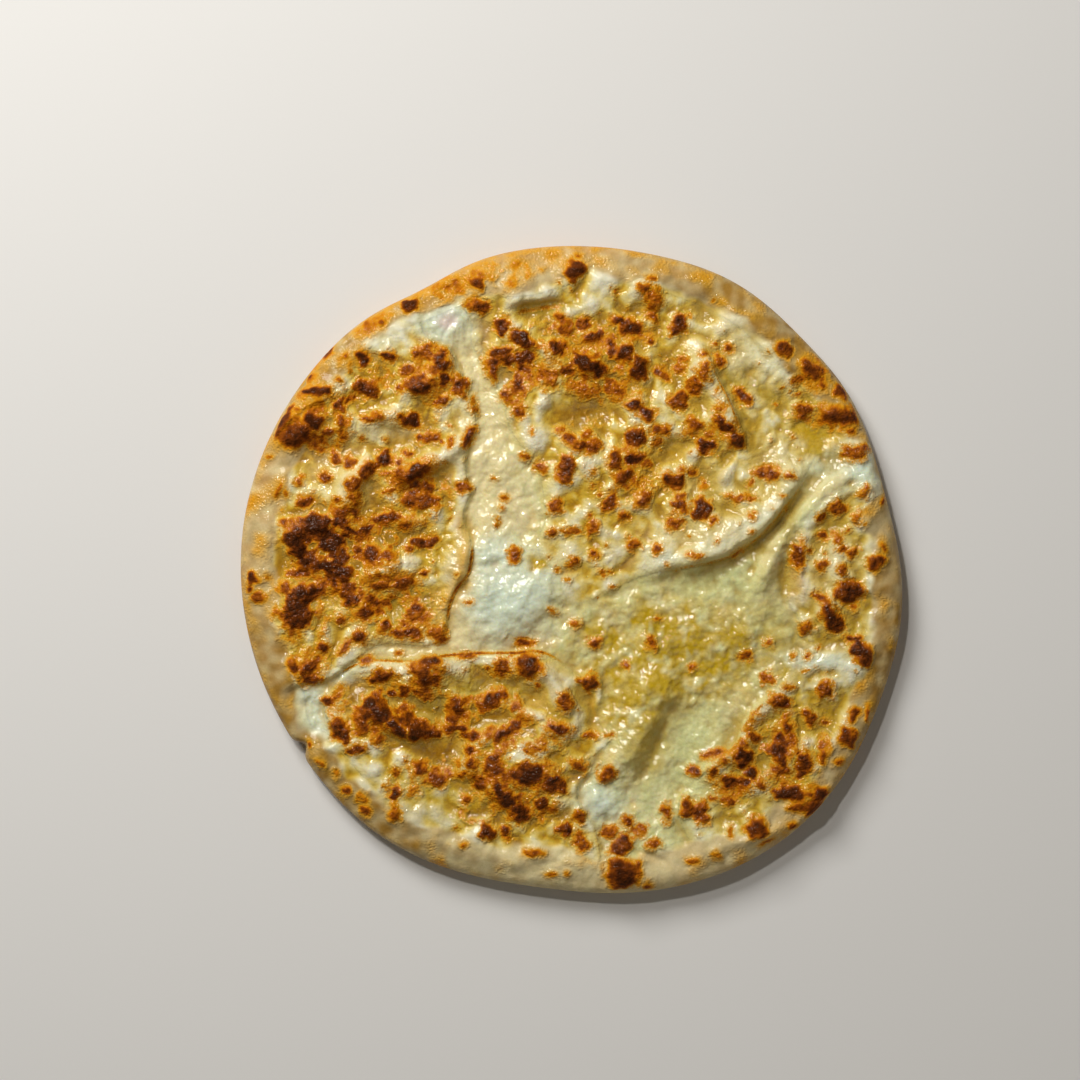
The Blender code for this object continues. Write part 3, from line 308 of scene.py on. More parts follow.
    (41, -104.5, 5, 8, 1.8), (50, -102, 6, 8, 2.4), (-16, -121.5, 9, 3, 1.7),
    (-9, -131, 5, 2, 1.5), (-2, -130.5, 1.2, 1.2, 2.5),
    # lower right
    (89, -56.5, 9, 7, 2.2), (92, -66, 8, 6, 1.9, 80), (102, -63.5, 7, 5, 2.1, -60),
    (109, -65.5, 4, 2.5, 1.8), (121, -62.5, 7, 4, 2.3, 50), (127.5, -61.5, 3.5, 7, 2.5),
    (118.5, -72, 9, 8, 2.8, -60), (78.5, -72, 6, 4, 2.1), (89.5, -77, 15, 7, 2.5, -80),
    (90, -86, 7, 6, 2), (97, -78.5, 2, 2, 2), (100, -83.5, 13, 7, 2.6, 75), (108, -75, 5, 5, 2),
    (108, -80, 4, 8, 1.9), (115, -82.5, 3.5, 3, 2.1), (74, -80, 8, 8, 2.8), (77, -87, 6, 8, 2.8),
    (70, -91, 12, 5, 2.4), (65.5, -82, 3, 3, 1.8), (60.5, -87, 4, 4, 1.7),
    (52.5, -86.5, 5, 4, 2.2), (61, -79, 10, 3, 1.8, 10), (81, -92, 5, 4, 1.9),
    (94, -96, 13, 7, 2.7), (101.5, -96, 4, 4, 2), (106.5, -96, 7, 6, 2.6),
    (97, -102.5, 8, 4, 2.3), (105, -102, 10, 8, 2.3), (95.5, -110, 5, 4, 2.4),
    (79, -111, 10, 8, 2.7, 50), (56.5, -107, 5, 5, 2.3), (54, -103, 9, 8, 2.2),
    (61, -98, 4, 2, 1.8), (67, -99.5, 6, 4, 1.6), (62, -123, 4, 4, 1.8), (52, -125, 6, 3, 1.8),
    (84, -117, 7, 1.5, 1.6, 30),
]
# Broad browning, made darker over the left and lower lobes as painted shade: (x, y, half-length
# along x, half-length along y, how dark at the middle).
BROWNED_AND_SHADE = [
    (-26, 84, 15, 12, 1.9), (10, 88, 18, 14, 1.9), (15, 76, 14, 5, 1.5), (6, 66, 7, 6, 1.0),
    (-104, 10, 15, 17, 4.2), (-115, -15, 11, 15, 2.6), (-105, 54, 11, 6, 1.9),
    (-112, 61, 16, 10, 1.9), (-65, 35, 13, 12, 1.5), (-80, 14, 16, 14, 1.7),
    (-60, 85, 12, 12, 1.5), (-65, 67, 12, 8, 1.0), (-78, -14, 20, 13, 2.0), (-97, -56, 9, 6, 1.5),
    (-75, -60, 18, 11, 3.0), (-61, -45, 9, 9, 1.6), (-18, -42, 7, 6, 1.3), (-40, -44, 11, 4, 0.6),
    (-60, -86, 10, 9, 1.5), (-40, -61, 14, 8, 1.9), (-25, -80, 20, 18, 1.7),
    (-55, -62, 18, 10, 1.7), (3, -84, 6, 7, 1.2), (-44, -104, 9, 4, 0.9), (-22, -100, 13, 9, 2.2),
    (25, 42, 16, 12, 1.1), (60, 60, 13, 13, 1.1), (112, 65, 13, 6, 1.9), (85, -75, 20, 15, 1.3),
    (112, -12, 12, 14, 0.15), (-29, 127, 12, 7, 1.0), (-52, 121, 12, 7, 1.1),
    (-88, 107, 12, 7, 1.0), (-117, 82, 7, 8, 1.0), (95, 7, 5, 10, 1.0), (20, 102, 16, 6, 1.2),
    (-88, 84, 14, 10, 1.0), (98, -98, 14, 8, 1.1), (-112, -40, 10, 8, 1.1), (105, 84, 8, 8, 1.0),
    (-12, 100, 12, 8, 1.1), (68, -93, 10, 7, 1.1), (22, -122, 9, 12, 1.1),
]
# Cream-coloured patches that stay unbrowned within it: (x, y, half-length along x, half-length
# along y, share).
CLEARED = [
    (-86, 53, 15, 4, 1.0), (-103, 33, 7, 7, 0.9), (-70, 5, 9, 4, 0.9), (-79, -9, 9, 5, 0.9),
    (-61, -3, 7, 9, 0.7), (-104, -15, 5, 5, 0.8), (-95, -25, 9, 4, 0.9), (-64, -31, 11, 3.5, 1.0),
    (-120, 4, 3, 6, 0.8), (-114, -30, 6, 4, 0.8), (-36, -39, 9, 3.5, 0.9), (-5, -48, 6, 7, 0.9),
    (-19, -79, 10, 5, 1.0), (-82, -76, 9, 3.5, 0.8), (-63, -97, 9, 6, 0.8), (-9, 85, 5, 3, 0.8),
    (6, 96, 6, 3, 0.7), (12, 49, 7, 7, 0.9), (42, 50, 7, 7, 0.9), (-74, 71, 6, 3.5, 0.8),
    (-60, 66, 6, 4, 0.8), (-76, 100, 10, 6, 0.7), (-52, 46, 6, 6, 0.7), (56, 70, 5, 8, 0.8),
    (84, -66, 6, 6, 0.8), (100, -72, 5, 8, 0.8), (88, -104, 8, 5, 0.8), (112, 4, 6, 6, 0.8),
    (110, -44, 9, 5, 0.8), (-88, 27, 6, 5, 0.7), (-47, -76, 4, 10, 0.6), (-100, 82, 7, 5, 0.7),
]
# Thin dark lines: burnt lobe edges with painted shade in the gap below them, and painted shade
# along the top fold, under the big roll and beside the upper right crease: (points, width, how
# dark).
BURNT_AND_SHADE_LINES = [
    ([(-66, -38.5), (-56, -37.2), (-46, -36.3), (-34, -35.8), (-24, -35.8), (-15, -35), (-7, -38),
      (-1, -43)], 0.55, 2.6),
    ([(-42.5, 13), (-42.8, 6), (-44.5, -2), (-49.5, -8.5), (-52.5, -16), (-53.5, -25)], 0.6, 2.4),
    ([(-41.5, 64), (-42.5, 57), (-45.5, 50)], 0.6, 1.8),
    ([(73, -69), (78, -62), (83.5, -56)], 0.5, 1.6),
    ([(-102, -46.5), (-95, -42), (-86, -39), (-72, -39.3), (-62, -38)], 0.5, 1.7),
    ([(-1, 113.5), (-13, 112.2), (-26, 110)], 1.3, 1.1),
    ([(104, 46), (98, 35.5), (90, 24.5), (82, 15.5), (72, 7.5), (60, 3), (46, 0.4), (30, -3)],
     0.9, 0.75),
    ([(57, 93), (62, 83), (66.5, 74), (70.5, 64), (73.5, 54)], 0.45, 1.3),
]

# Colours, linear.
PALE = (0.79, 0.69, 0.38)
WHITE = (0.67, 0.755, 0.61)
STREAM = (0.67, 0.69, 0.345)
BUTTER = (0.52, 0.34, 0.008)
# Painted shade: olive oil in shade, for grooves, valleys and hollows.
OLIVE_SHADE = (0.36, 0.25, 0.015)
AMBER = (0.40, 0.16, 0.006)
YELLOW = (0.76, 0.45, 0.01)
# Painted shade on steep slopes.
SLOPE_SHADE_HONEY = (0.68, 0.50, 0.12)
PINK = (0.72, 0.56, 0.50)
DOUGH_WARM = (0.50, 0.235, 0.055)
DOUGH_PALE = (0.60, 0.47, 0.235)
# Tan dough, also painted as shade on the rim.
DOUGH_TAN_AND_SHADE = (0.33, 0.175, 0.03)
# The left lobe's golden lip, painted also as the warm shade of its steep side.
GOLD_LIP_AND_SHADE = (0.66, 0.35, 0.016)
# Painted shade in creases.
CREASE_SHADE_COLOUR = (0.50, 0.28, 0.02)
# The lobes' cheese where it isn't browned, from painted shade in the hollows to painted light on
# the puffs' tops.
CHEESE_SHADE_STEPS = [-1.0, -0.6, -0.2, 0.2, 0.6, 1.0]
CHEESE_SHADE_TO_LIGHT = [(0.31, 0.14, 0.003), (0.48, 0.25, 0.006), (0.64, 0.41, 0.035),
                  (0.75, 0.59, 0.19), (0.80, 0.72, 0.42), (0.84, 0.80, 0.60)]
# How the untoasted surface is coloured, with some painted shade and light: (x, y, half-length along
# x and along y, colour, share).
# The olive entries are painted shade in grooves, valleys and below folds; the amber one at (-19,
# -32) is painted shadow under the big dome; the faint white ones along the big roll's crest are
# painted light.
TINTS_SHADE_AND_LIGHT = [
    (-54, 106, 12, 10, WHITE, 0.9), (-88, 95, 12, 4, WHITE, 0.3), (-46, 86, 7, 16, PALE, 0.8),
    (-36, 60, 10, 16, PALE, 0.6), (-28, -14, 20, 17, WHITE, 1.0), (-34, 8, 11, 9, WHITE, 0.8),
    (-30, 24, 13, 9, PALE, 0.7), (-38, 43, 11, 8, PALE, 0.6), (-14, -4, 10, 10, WHITE, 0.7),
    (-50, -28, 12, 6, PALE, 0.8), (62, -4, 26, 9, STREAM, 1.0), (112, 46, 17, 8, WHITE, 0.8),
    (129, 43, 12, 9, WHITE, 1.0), (100, 34, 8, 12, STREAM, 0.8), (86, 14, 9, 9, STREAM, 0.6),
    (86, 4, 5, 12, PALE, 0.6), (52, -82, 13, 26, STREAM, 1.0), (44, -108, 9, 8, STREAM, 0.8),
    (12, -100, 10, 9, WHITE, 0.9), (84, 88, 13, 10, WHITE, 0.7), (78, 100, 22, 26, PALE, 0.6),
    (104, -39, 18, 6, WHITE, 0.8), (86, -26, 12, 9, STREAM, 0.7), (-70, -34, 20, 3, PALE, 0.7),
    (-108, -64, 7, 10, WHITE, 0.8), (-114, -54, 5, 5, WHITE, 0.8), (60, 14, 26, 9, PALE, 0.7),
    (92, 44, 14, 12, PALE, 0.6), (110, 34, 12, 6, PALE, 0.6), (-84, 60, 16, 5, PALE, 0.8),
    (-100, 40, 12, 12, PALE, 0.5), (112, 104, 14, 14, PALE, 0.3), (-92, 100, 16, 8, PALE, 0.4),
    (60, 36, 12, 8, PALE, 0.4), (104, 57, 12, 10, BUTTER, 0.95), (95.5, -2, 4.5, 18, AMBER, 0.75),
    (95, -46, 7, 5, BUTTER, 0.7), (40, -36, 42, 23, BUTTER, 1.1), (72, -34, 16, 12, BUTTER, 0.6),
    (24, -60, 13, 10, BUTTER, 1.0), (30, -76, 7, 14, OLIVE_SHADE, 0.45), (32, -66, 13, 26, BUTTER, 0.4),
    (-14, 3, 4.5, 3, BUTTER, 0.9), (-26, -51, 12, 4, OLIVE_SHADE, 0.8), (-46, -52, 10, 4, OLIVE_SHADE, 0.7),
    (-4, -62, 7, 7, OLIVE_SHADE, 0.6), (-55, 4, 9, 12, BUTTER, 0.5), (72, 82, 8, 7, BUTTER, 0.5),
    (80, 78, 9, 5, BUTTER, 0.55), (88, 76, 7, 6, BUTTER, 0.6), (93, 20, 3.5, 12, OLIVE_SHADE, 0.7),
    (80, 9, 9, 3, OLIVE_SHADE, 0.6), (62, 36, 4, 9, OLIVE_SHADE, 0.6), (-10, 112, 12, 3.5, OLIVE_SHADE, 0.8),
    (35, -72, 3, 16, OLIVE_SHADE, 0.5), (-78, -16, 18, 12, OLIVE_SHADE, 0.5), (-60, -60, 16, 9, OLIVE_SHADE, 0.5),
    (-66, 52, 14, 6, BUTTER, 0.2), (-30, 64, 12, 12, BUTTER, 0.2), (10, 12, 20, 12, BUTTER, 0.25),
    # Painted shadow under the big dome: the amber patch at (-19, -32).
    (86, -8, 6, 10, OLIVE_SHADE, 0.35), (-54, 107.5, 4, 3.5, PINK, 0.8), (-19, -32, 9, 2.6, AMBER, 0.7),
    # The left lobe's lip: golden, and painted shade where its steep side turns from the light.
    (-47, 19, 4, 8, GOLD_LIP_AND_SHADE, 0.6), (-45.5, 6, 3.5, 8, GOLD_LIP_AND_SHADE, 0.8), (-48, -4, 4, 7, GOLD_LIP_AND_SHADE, 0.8),
    (-52.5, -13, 4, 7, GOLD_LIP_AND_SHADE, 0.8), (-56, -24, 4, 7, GOLD_LIP_AND_SHADE, 0.7), (-98, -46, 9, 3.5, WHITE, 0.6),
    (66, 78, 2.6, 9, OLIVE_SHADE, 0.7), (71.5, 64, 2.6, 9, OLIVE_SHADE, 0.8), (62, 88, 2.4, 6, OLIVE_SHADE, 0.6),
    # Painted light along the big roll's crest: the faint white patches from (95, 36) to (38, 4).
    (106, 59, 9, 6, YELLOW, 0.9), (112, 63, 8, 5, AMBER, 0.5), (95, 36, 9, 8, WHITE, 0.25),
    (80, 20, 10, 7, WHITE, 0.25), (60, 10, 13, 6, WHITE, 0.25), (38, 4, 13, 5, WHITE, 0.25),
    (86, 34, 10, 8, BUTTER, 0.3), (56, 18, 16, 6, BUTTER, 0.3), (-38, 68, 8, 26, PALE, 0.7),
    (-36, 48, 12, 14, PALE, 0.6), (112, -2, 14, 16, PALE, 0.5), (-66, -98, 26, 12, OLIVE_SHADE, 0.5),
]
# Where melted butter stands: (x, y, half-length along x, half-length along y, share).
WET = [
    (104, 57, 11, 9, 1.0), (95.5, -2, 4, 19, 1.0), (95, -46, 7, 5, 0.9), (40, -36, 44, 24, 0.6),
    (24, -60, 13, 10, 0.7), (-14, 3, 4, 3, 1.0), (-26, -51, 12, 4, 0.9), (-46, -52, 10, 4, 0.8),
    (-55, 4, 8, 12, 0.5), (78, 80, 14, 8, 0.6), (62, 38, 5, 9, 0.7), (84, 12, 12, 4, 0.6),
]

# Where the rim's dough is warmest in colour, tanned and darker as painted shade, and lighter as
# painted light: (direction, half-width, share).
WARM_RIM = [(110, 48, 1.0), (185, 25, 0.5), (320, 25, 0.35)]
TAN_AND_SHADED_RIM = [(-15, 24, 1.0), (48, 26, 1.2), (140, 20, 0.7), (-140, 30, 1.8)]
PAINTED_LIGHT_RIM = [(-98, 24, 0.5)]

# Layers of ripples: (distance between them, strength, seed). First those of the height,
CHEESE_RIPPLES = [(4.4, 0.17, 19), (2.4, 0.13, 20)]
MOLTEN_RIPPLES = [(7.5, 0.4, 23), (3.6, 0.34, 37), (1.8, 0.15, 39)]
BUTTER_RIPPLES = [(6.5, 0.5, 36)]
DOUGH_RIPPLES = [(4.6, 0.13, 25), (2.2, 0.06, 26)]
# then those that make edges and ovals uneven,
RAGGED_EDGE = [(16.0, 3.0, 11), (6.0, 1.6, 12)]
SHIFTS = [[(13.0, 1.5, 41), (5.0, 0.7, 42)], [(13.0, 1.5, 43), (5.0, 0.7, 44)]]
WANDERS = [[(5.0, 1.5, 51), (2.3, 0.7, 52)], [(5.0, 1.5, 53), (2.3, 0.7, 54)]]
# and those of the looks.
BROWNED_PATCHES = [(9.0, 0.7, 14), (3.9, 0.5, 15), (1.9, 0.3, 16)]
GOLDEN_PATCHES = [(15.0, 0.5, 34), (5.0, 0.4, 35)]
LEVEL_RIPPLES = [(7.0, 0.3, 45), (3.0, 0.2, 28)]
PALE_STREAKS = [(9.0, 0.4, 27), (3.0, 0.3, 28)]
YELLOW_STREAKS = [(9.0, 1.2, 57), (3.2, 0.5, 58)]
DOUGH_PATCHES = [(11.0, 0.9, 31), (4.6, 0.25, 32)]
DOUGH_EDGE = [(8.0, 0.7, 50), (3.4, 0.3, 60)]

# The grid of the whole surface reaches a little past the bread.
FIRST_X, LAST_X = -152.0, 154.5
FIRST_Y, LAST_Y = -151.0, 150.0
X, Y = np.meshgrid(np.arange(FIRST_X, LAST_X, CELL), np.arange(FIRST_Y, LAST_Y, CELL))


def swells(direction, table):
    """Sum of the rounded bumps of the table at each direction in degrees."""
    total = np.zeros_like(direction)
    for centre, half_width, size in table:
        away = (direction - centre + 180.0) % 360.0 - 180.0
        total += size * np.exp(-((away / half_width) ** 2))
    return total


def outline_radius(direction):
    return BREAD_RADIUS + swells(direction, OUTLINE_SWELLS)


def rim_width(direction):
    return np.maximum(RIM_WIDTH + swells(direction, RIM_SWELLS), LEAST_RIM)


def outline_centre():
    """Middle of the bread's bounding box, which is the origin of the solids' frame."""
    direction = np.arange(0.0, 360.0, 0.5)
    radius = outline_radius(direction)
    x = radius * np.cos(np.radians(direction))
    y = radius * np.sin(np.radians(direction))
    return 0.5 * (x.min() + x.max()), 0.5 * (y.min() + y.max())


CENTRE = outline_centre()


def smoothstep(value):
    t = np.clip(value, 0.0, 1.0)
    return t * t * (3.0 - 2.0 * t)


def on_lattice(x, y, spacing, seed, middle):
    """The places on a square lattice, turned by the seed: their cells, and how far into them."""
    c, s = math.cos(seed), math.sin(seed)
    u, v = (c * x - s * y) / spacing + middle, (s * x + c * y) / spacing + middle
    i, j = np.floor(u).astype(int), np.floor(v).astype(int)
    return i, j, u - i, v - j


def lumps(x, y, spacing, seed):
    """Random heights between -1 and 1 on the lattice, blended smoothly."""
    lattice = np.random.RandomState(seed).uniform(-1.0, 1.0, (64, 64))
    i, j, u, v = on_lattice(x, y, spacing, seed, 32.0)
    a, b = smoothstep(u), smoothstep(v)
    i, j = i % 63, j % 63
    near = lattice[i, j] * (1 - a) + lattice[i + 1, j] * a
    far = lattice[i, j + 1] * (1 - a) + lattice[i + 1, j + 1] * a
    return near * (1 - b) + far * b


def ripples(x, y, spacing, seed):
    """Gradient noise, about -1 to 1, without the lattice's flat spots."""
    turns = np.random.RandomState(seed).uniform(0.0, 2.0 * math.pi, (256, 256))
    i, j, u, v = on_lattice(x, y, spacing, seed, 512.0)
    total = np.zeros(x.shape)
    for right in (0, 1):
        for up in (0, 1):
            turn = turns[(i + right) % 256, (j + up) % 256]
            slope = np.cos(turn) * (u - right) + np.sin(turn) * (v - up)
            share_u = smoothstep(u) if right else 1.0 - smoothstep(u)
            share_v = smoothstep(v) if up else 1.0 - smoothstep(v)
            total += slope * share_u * share_v
    return 1.9 * total


def waves(layers, bent=False):
    """The sum of the layers of ripples over the grid, the first at the shifted places if bent."""
    total = np.zeros(X.shape)
    for number, (spacing, strength, seed) in enumerate(layers):
        x, y = (SHIFTED_X, SHIFTED_Y) if bent and number == 0 else (X, Y)
        total += strength * ripples(x, y, spacing, seed)
    return total


def grains(x, y, spacing, seed):
    """Rounded grains packed side by side: 1 at a grain's top, 0 between them."""
    place = np.random.RandomState(seed).uniform(0.0, 1.0, (2, 256, 256))
    i, j, u, v = on_lattice(x, y, spacing, seed, 512.0)
    nearest = np.full(x.shape, 9.0)
    for right in (-1, 0, 1):
        for up in (-1, 0, 1):
            a, b = (i + right) % 256, (j + up) % 256
            off_u = right + place[0, a, b] - u
            off_v = up + place[1, a, b] - v
            nearest = np.minimum(nearest, off_u**2 + off_v**2)
    return np.clip(1.0 - 1.6 * nearest, 0.0, 1.0)


def blurred(field, radius):
    """The field smoothed over that many millimetres."""
    spectrum = np.fft.rfft2(field)
    fy = np.fft.fftfreq(field.shape[0], CELL)[:, None]
    fx = np.fft.rfftfreq(field.shape[1], CELL)[None, :]
    spectrum *= np.exp(-2.0 * (math.pi * radius) ** 2 * (fx**2 + fy**2))
    return np.fft.irfft2(spectrum, field.shape)


def sample(field, x, y):
    """The grid's values at any places, blended between its four nearest corners."""
    u = np.clip((x - FIRST_X) / CELL, 0.0, field.shape[1] - 1.001)
    v = np.clip((y - FIRST_Y) / CELL, 0.0, field.shape[0] - 1.001)
    i, j = u.astype(int), v.astype(int)
    a, b = u - i, v - j
    if field.ndim == 3:
        a, b = a[..., None], b[..., None]
    low = field[j, i] * (1 - a) + field[j, i + 1] * a
    high = field[j + 1, i] * (1 - a) + field[j + 1, i + 1] * a
    return low * (1 - b) + high * b


def window(x0, x1, y0, y1):
    """The part of the grid between these places, as a pair of slices."""
    columns = slice(max(int((x0 - FIRST_X) / CELL), 0), max(int((x1 - FIRST_X) / CELL) + 2, 0))
    rows = slice(max(int((y0 - FIRST_Y) / CELL), 0), max(int((y1 - FIRST_Y) / CELL) + 2, 0))
    return rows, columns


def smooth_line(points, parts=3):
    """A Catmull-Rom curve through the points, with that many parts between each two."""
    p = np.array(points, float)
    p = np.vstack([2 * p[0] - p[1], p, 2 * p[-1] - p[-2]])
    t = np.linspace(0.0, 1.0, parts, endpoint=False)[:, None]
    pieces = []
    for a, b, c, d in zip(p, p[1:], p[2:], p[3:]):
        pieces.append(
            0.5 * (2 * b + (c - a) * t + (2 * a - 5 * b + 4 * c - d) * t**2
                   + (3 * b - a - 3 * c + d) * t**3)
        )
    pieces.append(p[-2:-1])
    return np.vstack(pieces)


def beside_line(points, reach):
    """For the grid's places within reach of the line: how far they lie to its left, less than
    0 on its right, how far along it, 0 to 1, and the nearest point of it."""
    line = smooth_line(points, 16)
    steps = np.hypot(*np.diff(line, axis=0).T)
    run = np.concatenate([[0.0], np.cumsum(steps)])
    even = np.linspace(0.0, run[-1], max(int(run[-1] / 0.6), 8))
    line = np.stack([np.interp(even, run, line[:, 0]), np.interp(even, run, line[:, 1])], axis=1)
    ahead = np.gradient(line, axis=0)
    ahead /= np.hypot(*ahead.T)[:, None]
    nearest = np.full(X.shape, np.inf)
    left = np.full(X.shape, np.inf)
    along = np.zeros(X.shape)
    block = 24
    for start in range(0, len(line), block):
        part = line[start:start + block]
        here = window(part[:, 0].min() - reach, part[:, 0].max() + reach,
                      part[:, 1].min() - reach, part[:, 1].max() + reach)
        off_x = X[here][..., None] - part[:, 0]
        off_y = Y[here][..., None] - part[:, 1]
        squares = off_x**2 + off_y**2
        which = squares.argmin(axis=-1)
        distance = np.sqrt(np.take_along_axis(squares, which[..., None], -1)[..., 0])
        direction = ahead[start:start + block][which]
        across = (direction[..., 0] * np.take_along_axis(off_y, which[..., None], -1)[..., 0]
                  - direction[..., 1] * np.take_along_axis(off_x, which[..., None], -1)[..., 0])
        closer = distance < nearest[here]
        nearest[here] = np.where(closer, distance, nearest[here])
        left[here] = np.where(closer, np.where(across < 0, -distance, distance), left[here])
        along[here] = np.where(closer, (start + which) / (len(line) - 1.0), along[here])
    near = np.interp(along, np.linspace(0, 1, len(line)), line[:, 0])
    far = np.interp(along, np.linspace(0, 1, len(line)), line[:, 1])
    return left, along, near, far


def lobe_outline(edge):
    """The closed outline of a lobe: its cut edge, then an arc round outside the bread."""
    first, last = edge[0], edge[-1]
    start = math.degrees(math.atan2(last[1], last[0]))
    sweep = (math.degrees(math.atan2(first[1], first[0])) - start) % 360.0
    if sweep > 180.0:
        sweep -= 360.0
    turns = np.radians(start + sweep * np.linspace(0.02, 0.98, 14))
    arc = LOBE_REACH * np.stack([np.cos(turns), np.sin(turns)], axis=1)
    return np.vstack([smooth_line(edge), arc])


def tapered(along, steepness):
    """1 along the middle of a line, falling to 0 at its ends."""
    return smoothstep(steepness * along) * smoothstep(steepness * (1.0 - along))


def is_inside(outline, x, y):
    """True for each place inside the closed outline."""
    inside = np.zeros(x.shape, bool)
    for (x0, y0), (x1, y1) in zip(outline, np.roll(outline, -1, axis=0)):
        if y0 == y1:
            continue
        crosses = (y0 > y) != (y1 > y)
        inside ^= crosses & (x < x0 + (y - y0) * (x1 - x0) / (y1 - y0))
    return inside


def ovals(table):
    """For each oval of the table: the grid's part round it, the oval, 1 in its middle and
    falling to nothing a little outside it, and the rest of the table's row."""
    for cx, cy, half_x, half_y, *rest in table:
        here = window(cx - 2 * half_x, cx + 2 * half_x, cy - 2 * half_y, cy + 2 * half_y)
        q = ((SHIFTED_X[here] - cx) / half_x) ** 2 + ((SHIFTED_Y[here] - cy) / half_y) ** 2
        yield here, np.exp(-0.9 * q**1.3), rest


def oval_shares(table):
    """The largest share that the table's ovals give each place."""
    share = np.zeros(X.shape)
    for here, oval, (amount,) in ovals(table):
        share[here] = np.maximum(share[here], amount * oval)
    return share


def rim_profile(x, y):
    """Height of the bread without its forms: a round rim, then the level of the cheese."""
    direction = np.degrees(np.arctan2(y, x))
    inwards = np.maximum(outline_radius(direction) - np.hypot(x, y), 0.0)
    width = np.maximum(rim_width(direction), LEAST_SLOPE)
    height = RIM_HEIGHT + swells(direction, RIM_LUMPS)
    crest = (0.52 + 0.18 * lumps(x, y, 21.0, 5)) * width
    rise = (1.0 - np.clip(1.0 - inwards / crest, 0.0, 1.0) ** ROUNDNESS) ** (1.0 / ROUNDNESS)
    outer = SIDE_HEIGHT + (height - SIDE_HEIGHT) * rise
    fall = smoothstep((inwards - crest) / width)
    return np.where(inwards < crest, outer, height + (CHEESE_HEIGHT - height) * fall)


DIRECTION = np.degrees(np.arctan2(Y, X))
INWARDS = outline_radius(DIRECTION) - np.hypot(X, Y)
# The same places, shifted to and fro a little, so that ovals drawn there have uneven edges.
SHIFTED_X, SHIFTED_Y = X + waves(SHIFTS[0]), Y + waves(SHIFTS[1])
# How the edges of the browned spots wander.
WANDER_X, WANDER_Y = waves(WANDERS[0]), waves(WANDERS[1])
EDGE_REACH = 14.0                      # how far from a cut edge the distance to it is known


def lobe_depths():
    """For each lobe: how far each place lies inside its cut edge, less than 0 outside it, and
    the nearest place of the edge."""
    found = {}
    for node, (edge, _, _) in LOBES.items():
        left, _, near_x, near_y = beside_line(edge, EDGE_REACH)
        inside = is_inside(lobe_outline(edge), X, Y)
        depth = np.minimum(np.abs(left), EDGE_REACH)
        found[node] = (np.where(inside, depth, -depth), near_x, near_y)
    return found


def form(depths):
    """Height of the whole top with its lobes, folds, domes and unevenness."""
    off_the_rim = smoothstep((INWARDS - 0.25 * rim_width(DIRECTION)) / 9.0)
    added = np.zeros(X.shape)
    for seed, (node, (_, rise, width)) in enumerate(LOBES.items()):
        uneven = 0.85 + 0.4 * ripples(X, Y, 22.0, 60 + seed)
        added += rise * uneven * smoothstep(0.5 + depths[node][0] / width) * off_the_rim
    for seed, (points, height, left_width, right_width) in enumerate(FOLDS):
        left, along, _, _ = beside_line(points, 2.6 * max(left_width, right_width))
        width = np.where(left > 0, left_width, right_width)
        uneven = 0.95 + 0.3 * ripples(X, Y, 12.0, 80 + seed)
        added += height * uneven * tapered(along, 3.4) * np.exp(-((left / width) ** 2))
    for here, oval, (height,) in ovals(DOMES):
        added[here] += height * oval
    for spacing, height, seed in UNEVENNESS:
        added += height * lumps(X, Y, spacing, seed)
    in_lobe = np.maximum.reduce([depth for depth, _, _ in depths.values()])
    firm = 0.3 + 0.7 * smoothstep(0.5 + in_lobe / 8.0) * smoothstep((INWARDS - 5.0) / 14.0)
    for spacing, height, seed in PUFFS:
        added += firm * height * (np.abs(ripples(SHIFTED_X, SHIFTED_Y, spacing, seed)) - 0.35)
    return rim_profile(X, Y) + added * smoothstep(INWARDS / 6.0)


BLISTER_SLOPE = 0.17                   # a blister's height for each millimetre of its width
BLISTER_WIDTH = 10.0                   # a wider one is no higher than one of this width
HALO = [(1.3, 0.55), (3.6, 0.2)]       # golden browning round it: (reach, strength)
HALO_ROOM = 7.0
FRECKLES, FRECKLE_REACH = 300, 132.0
LINE_REACH, LINE_DEPTH = 4.0, 0.5      # of the thin dark lines, burnt edges and painted shade
GRAIN_HEIGHT, FINE_GRAIN_HEIGHT, CRUST_SINKS = 0.42, 0.2, 0.25
CURD_HEIGHT = 0.4
LEAST_CRUST, FULL_CRUST = 0.5, 1.4     # how browned the cheese is where its crust begins, is full
BROWNING_MOST = 3.2                    # nothing is browned further than this


def spot_distance(here, cx, cy, length, width, turn=0.0):
    """How far each place lies outside the spot's uneven edge, less than 0 inside, and how
    far out it is as a share of the spot."""
    rough = min(1.0, width / 6.0)
    x = X[here] - cx + rough * WANDER_X[here]
    y = Y[here] - cy + rough * WANDER_Y[here]
    c, s = math.cos(math.radians(turn)), math.sin(math.radians(turn))
    u = (x * c + y * s) / (0.5 * length)
    v = (y * c - x * s) / (0.5 * width)
    q = np.hypot(u, v) + 1e-6
    steepness = np.hypot(u / (0.5 * length), v / (0.5 * width)) / q
    return (q - 1.0) / steepness, q


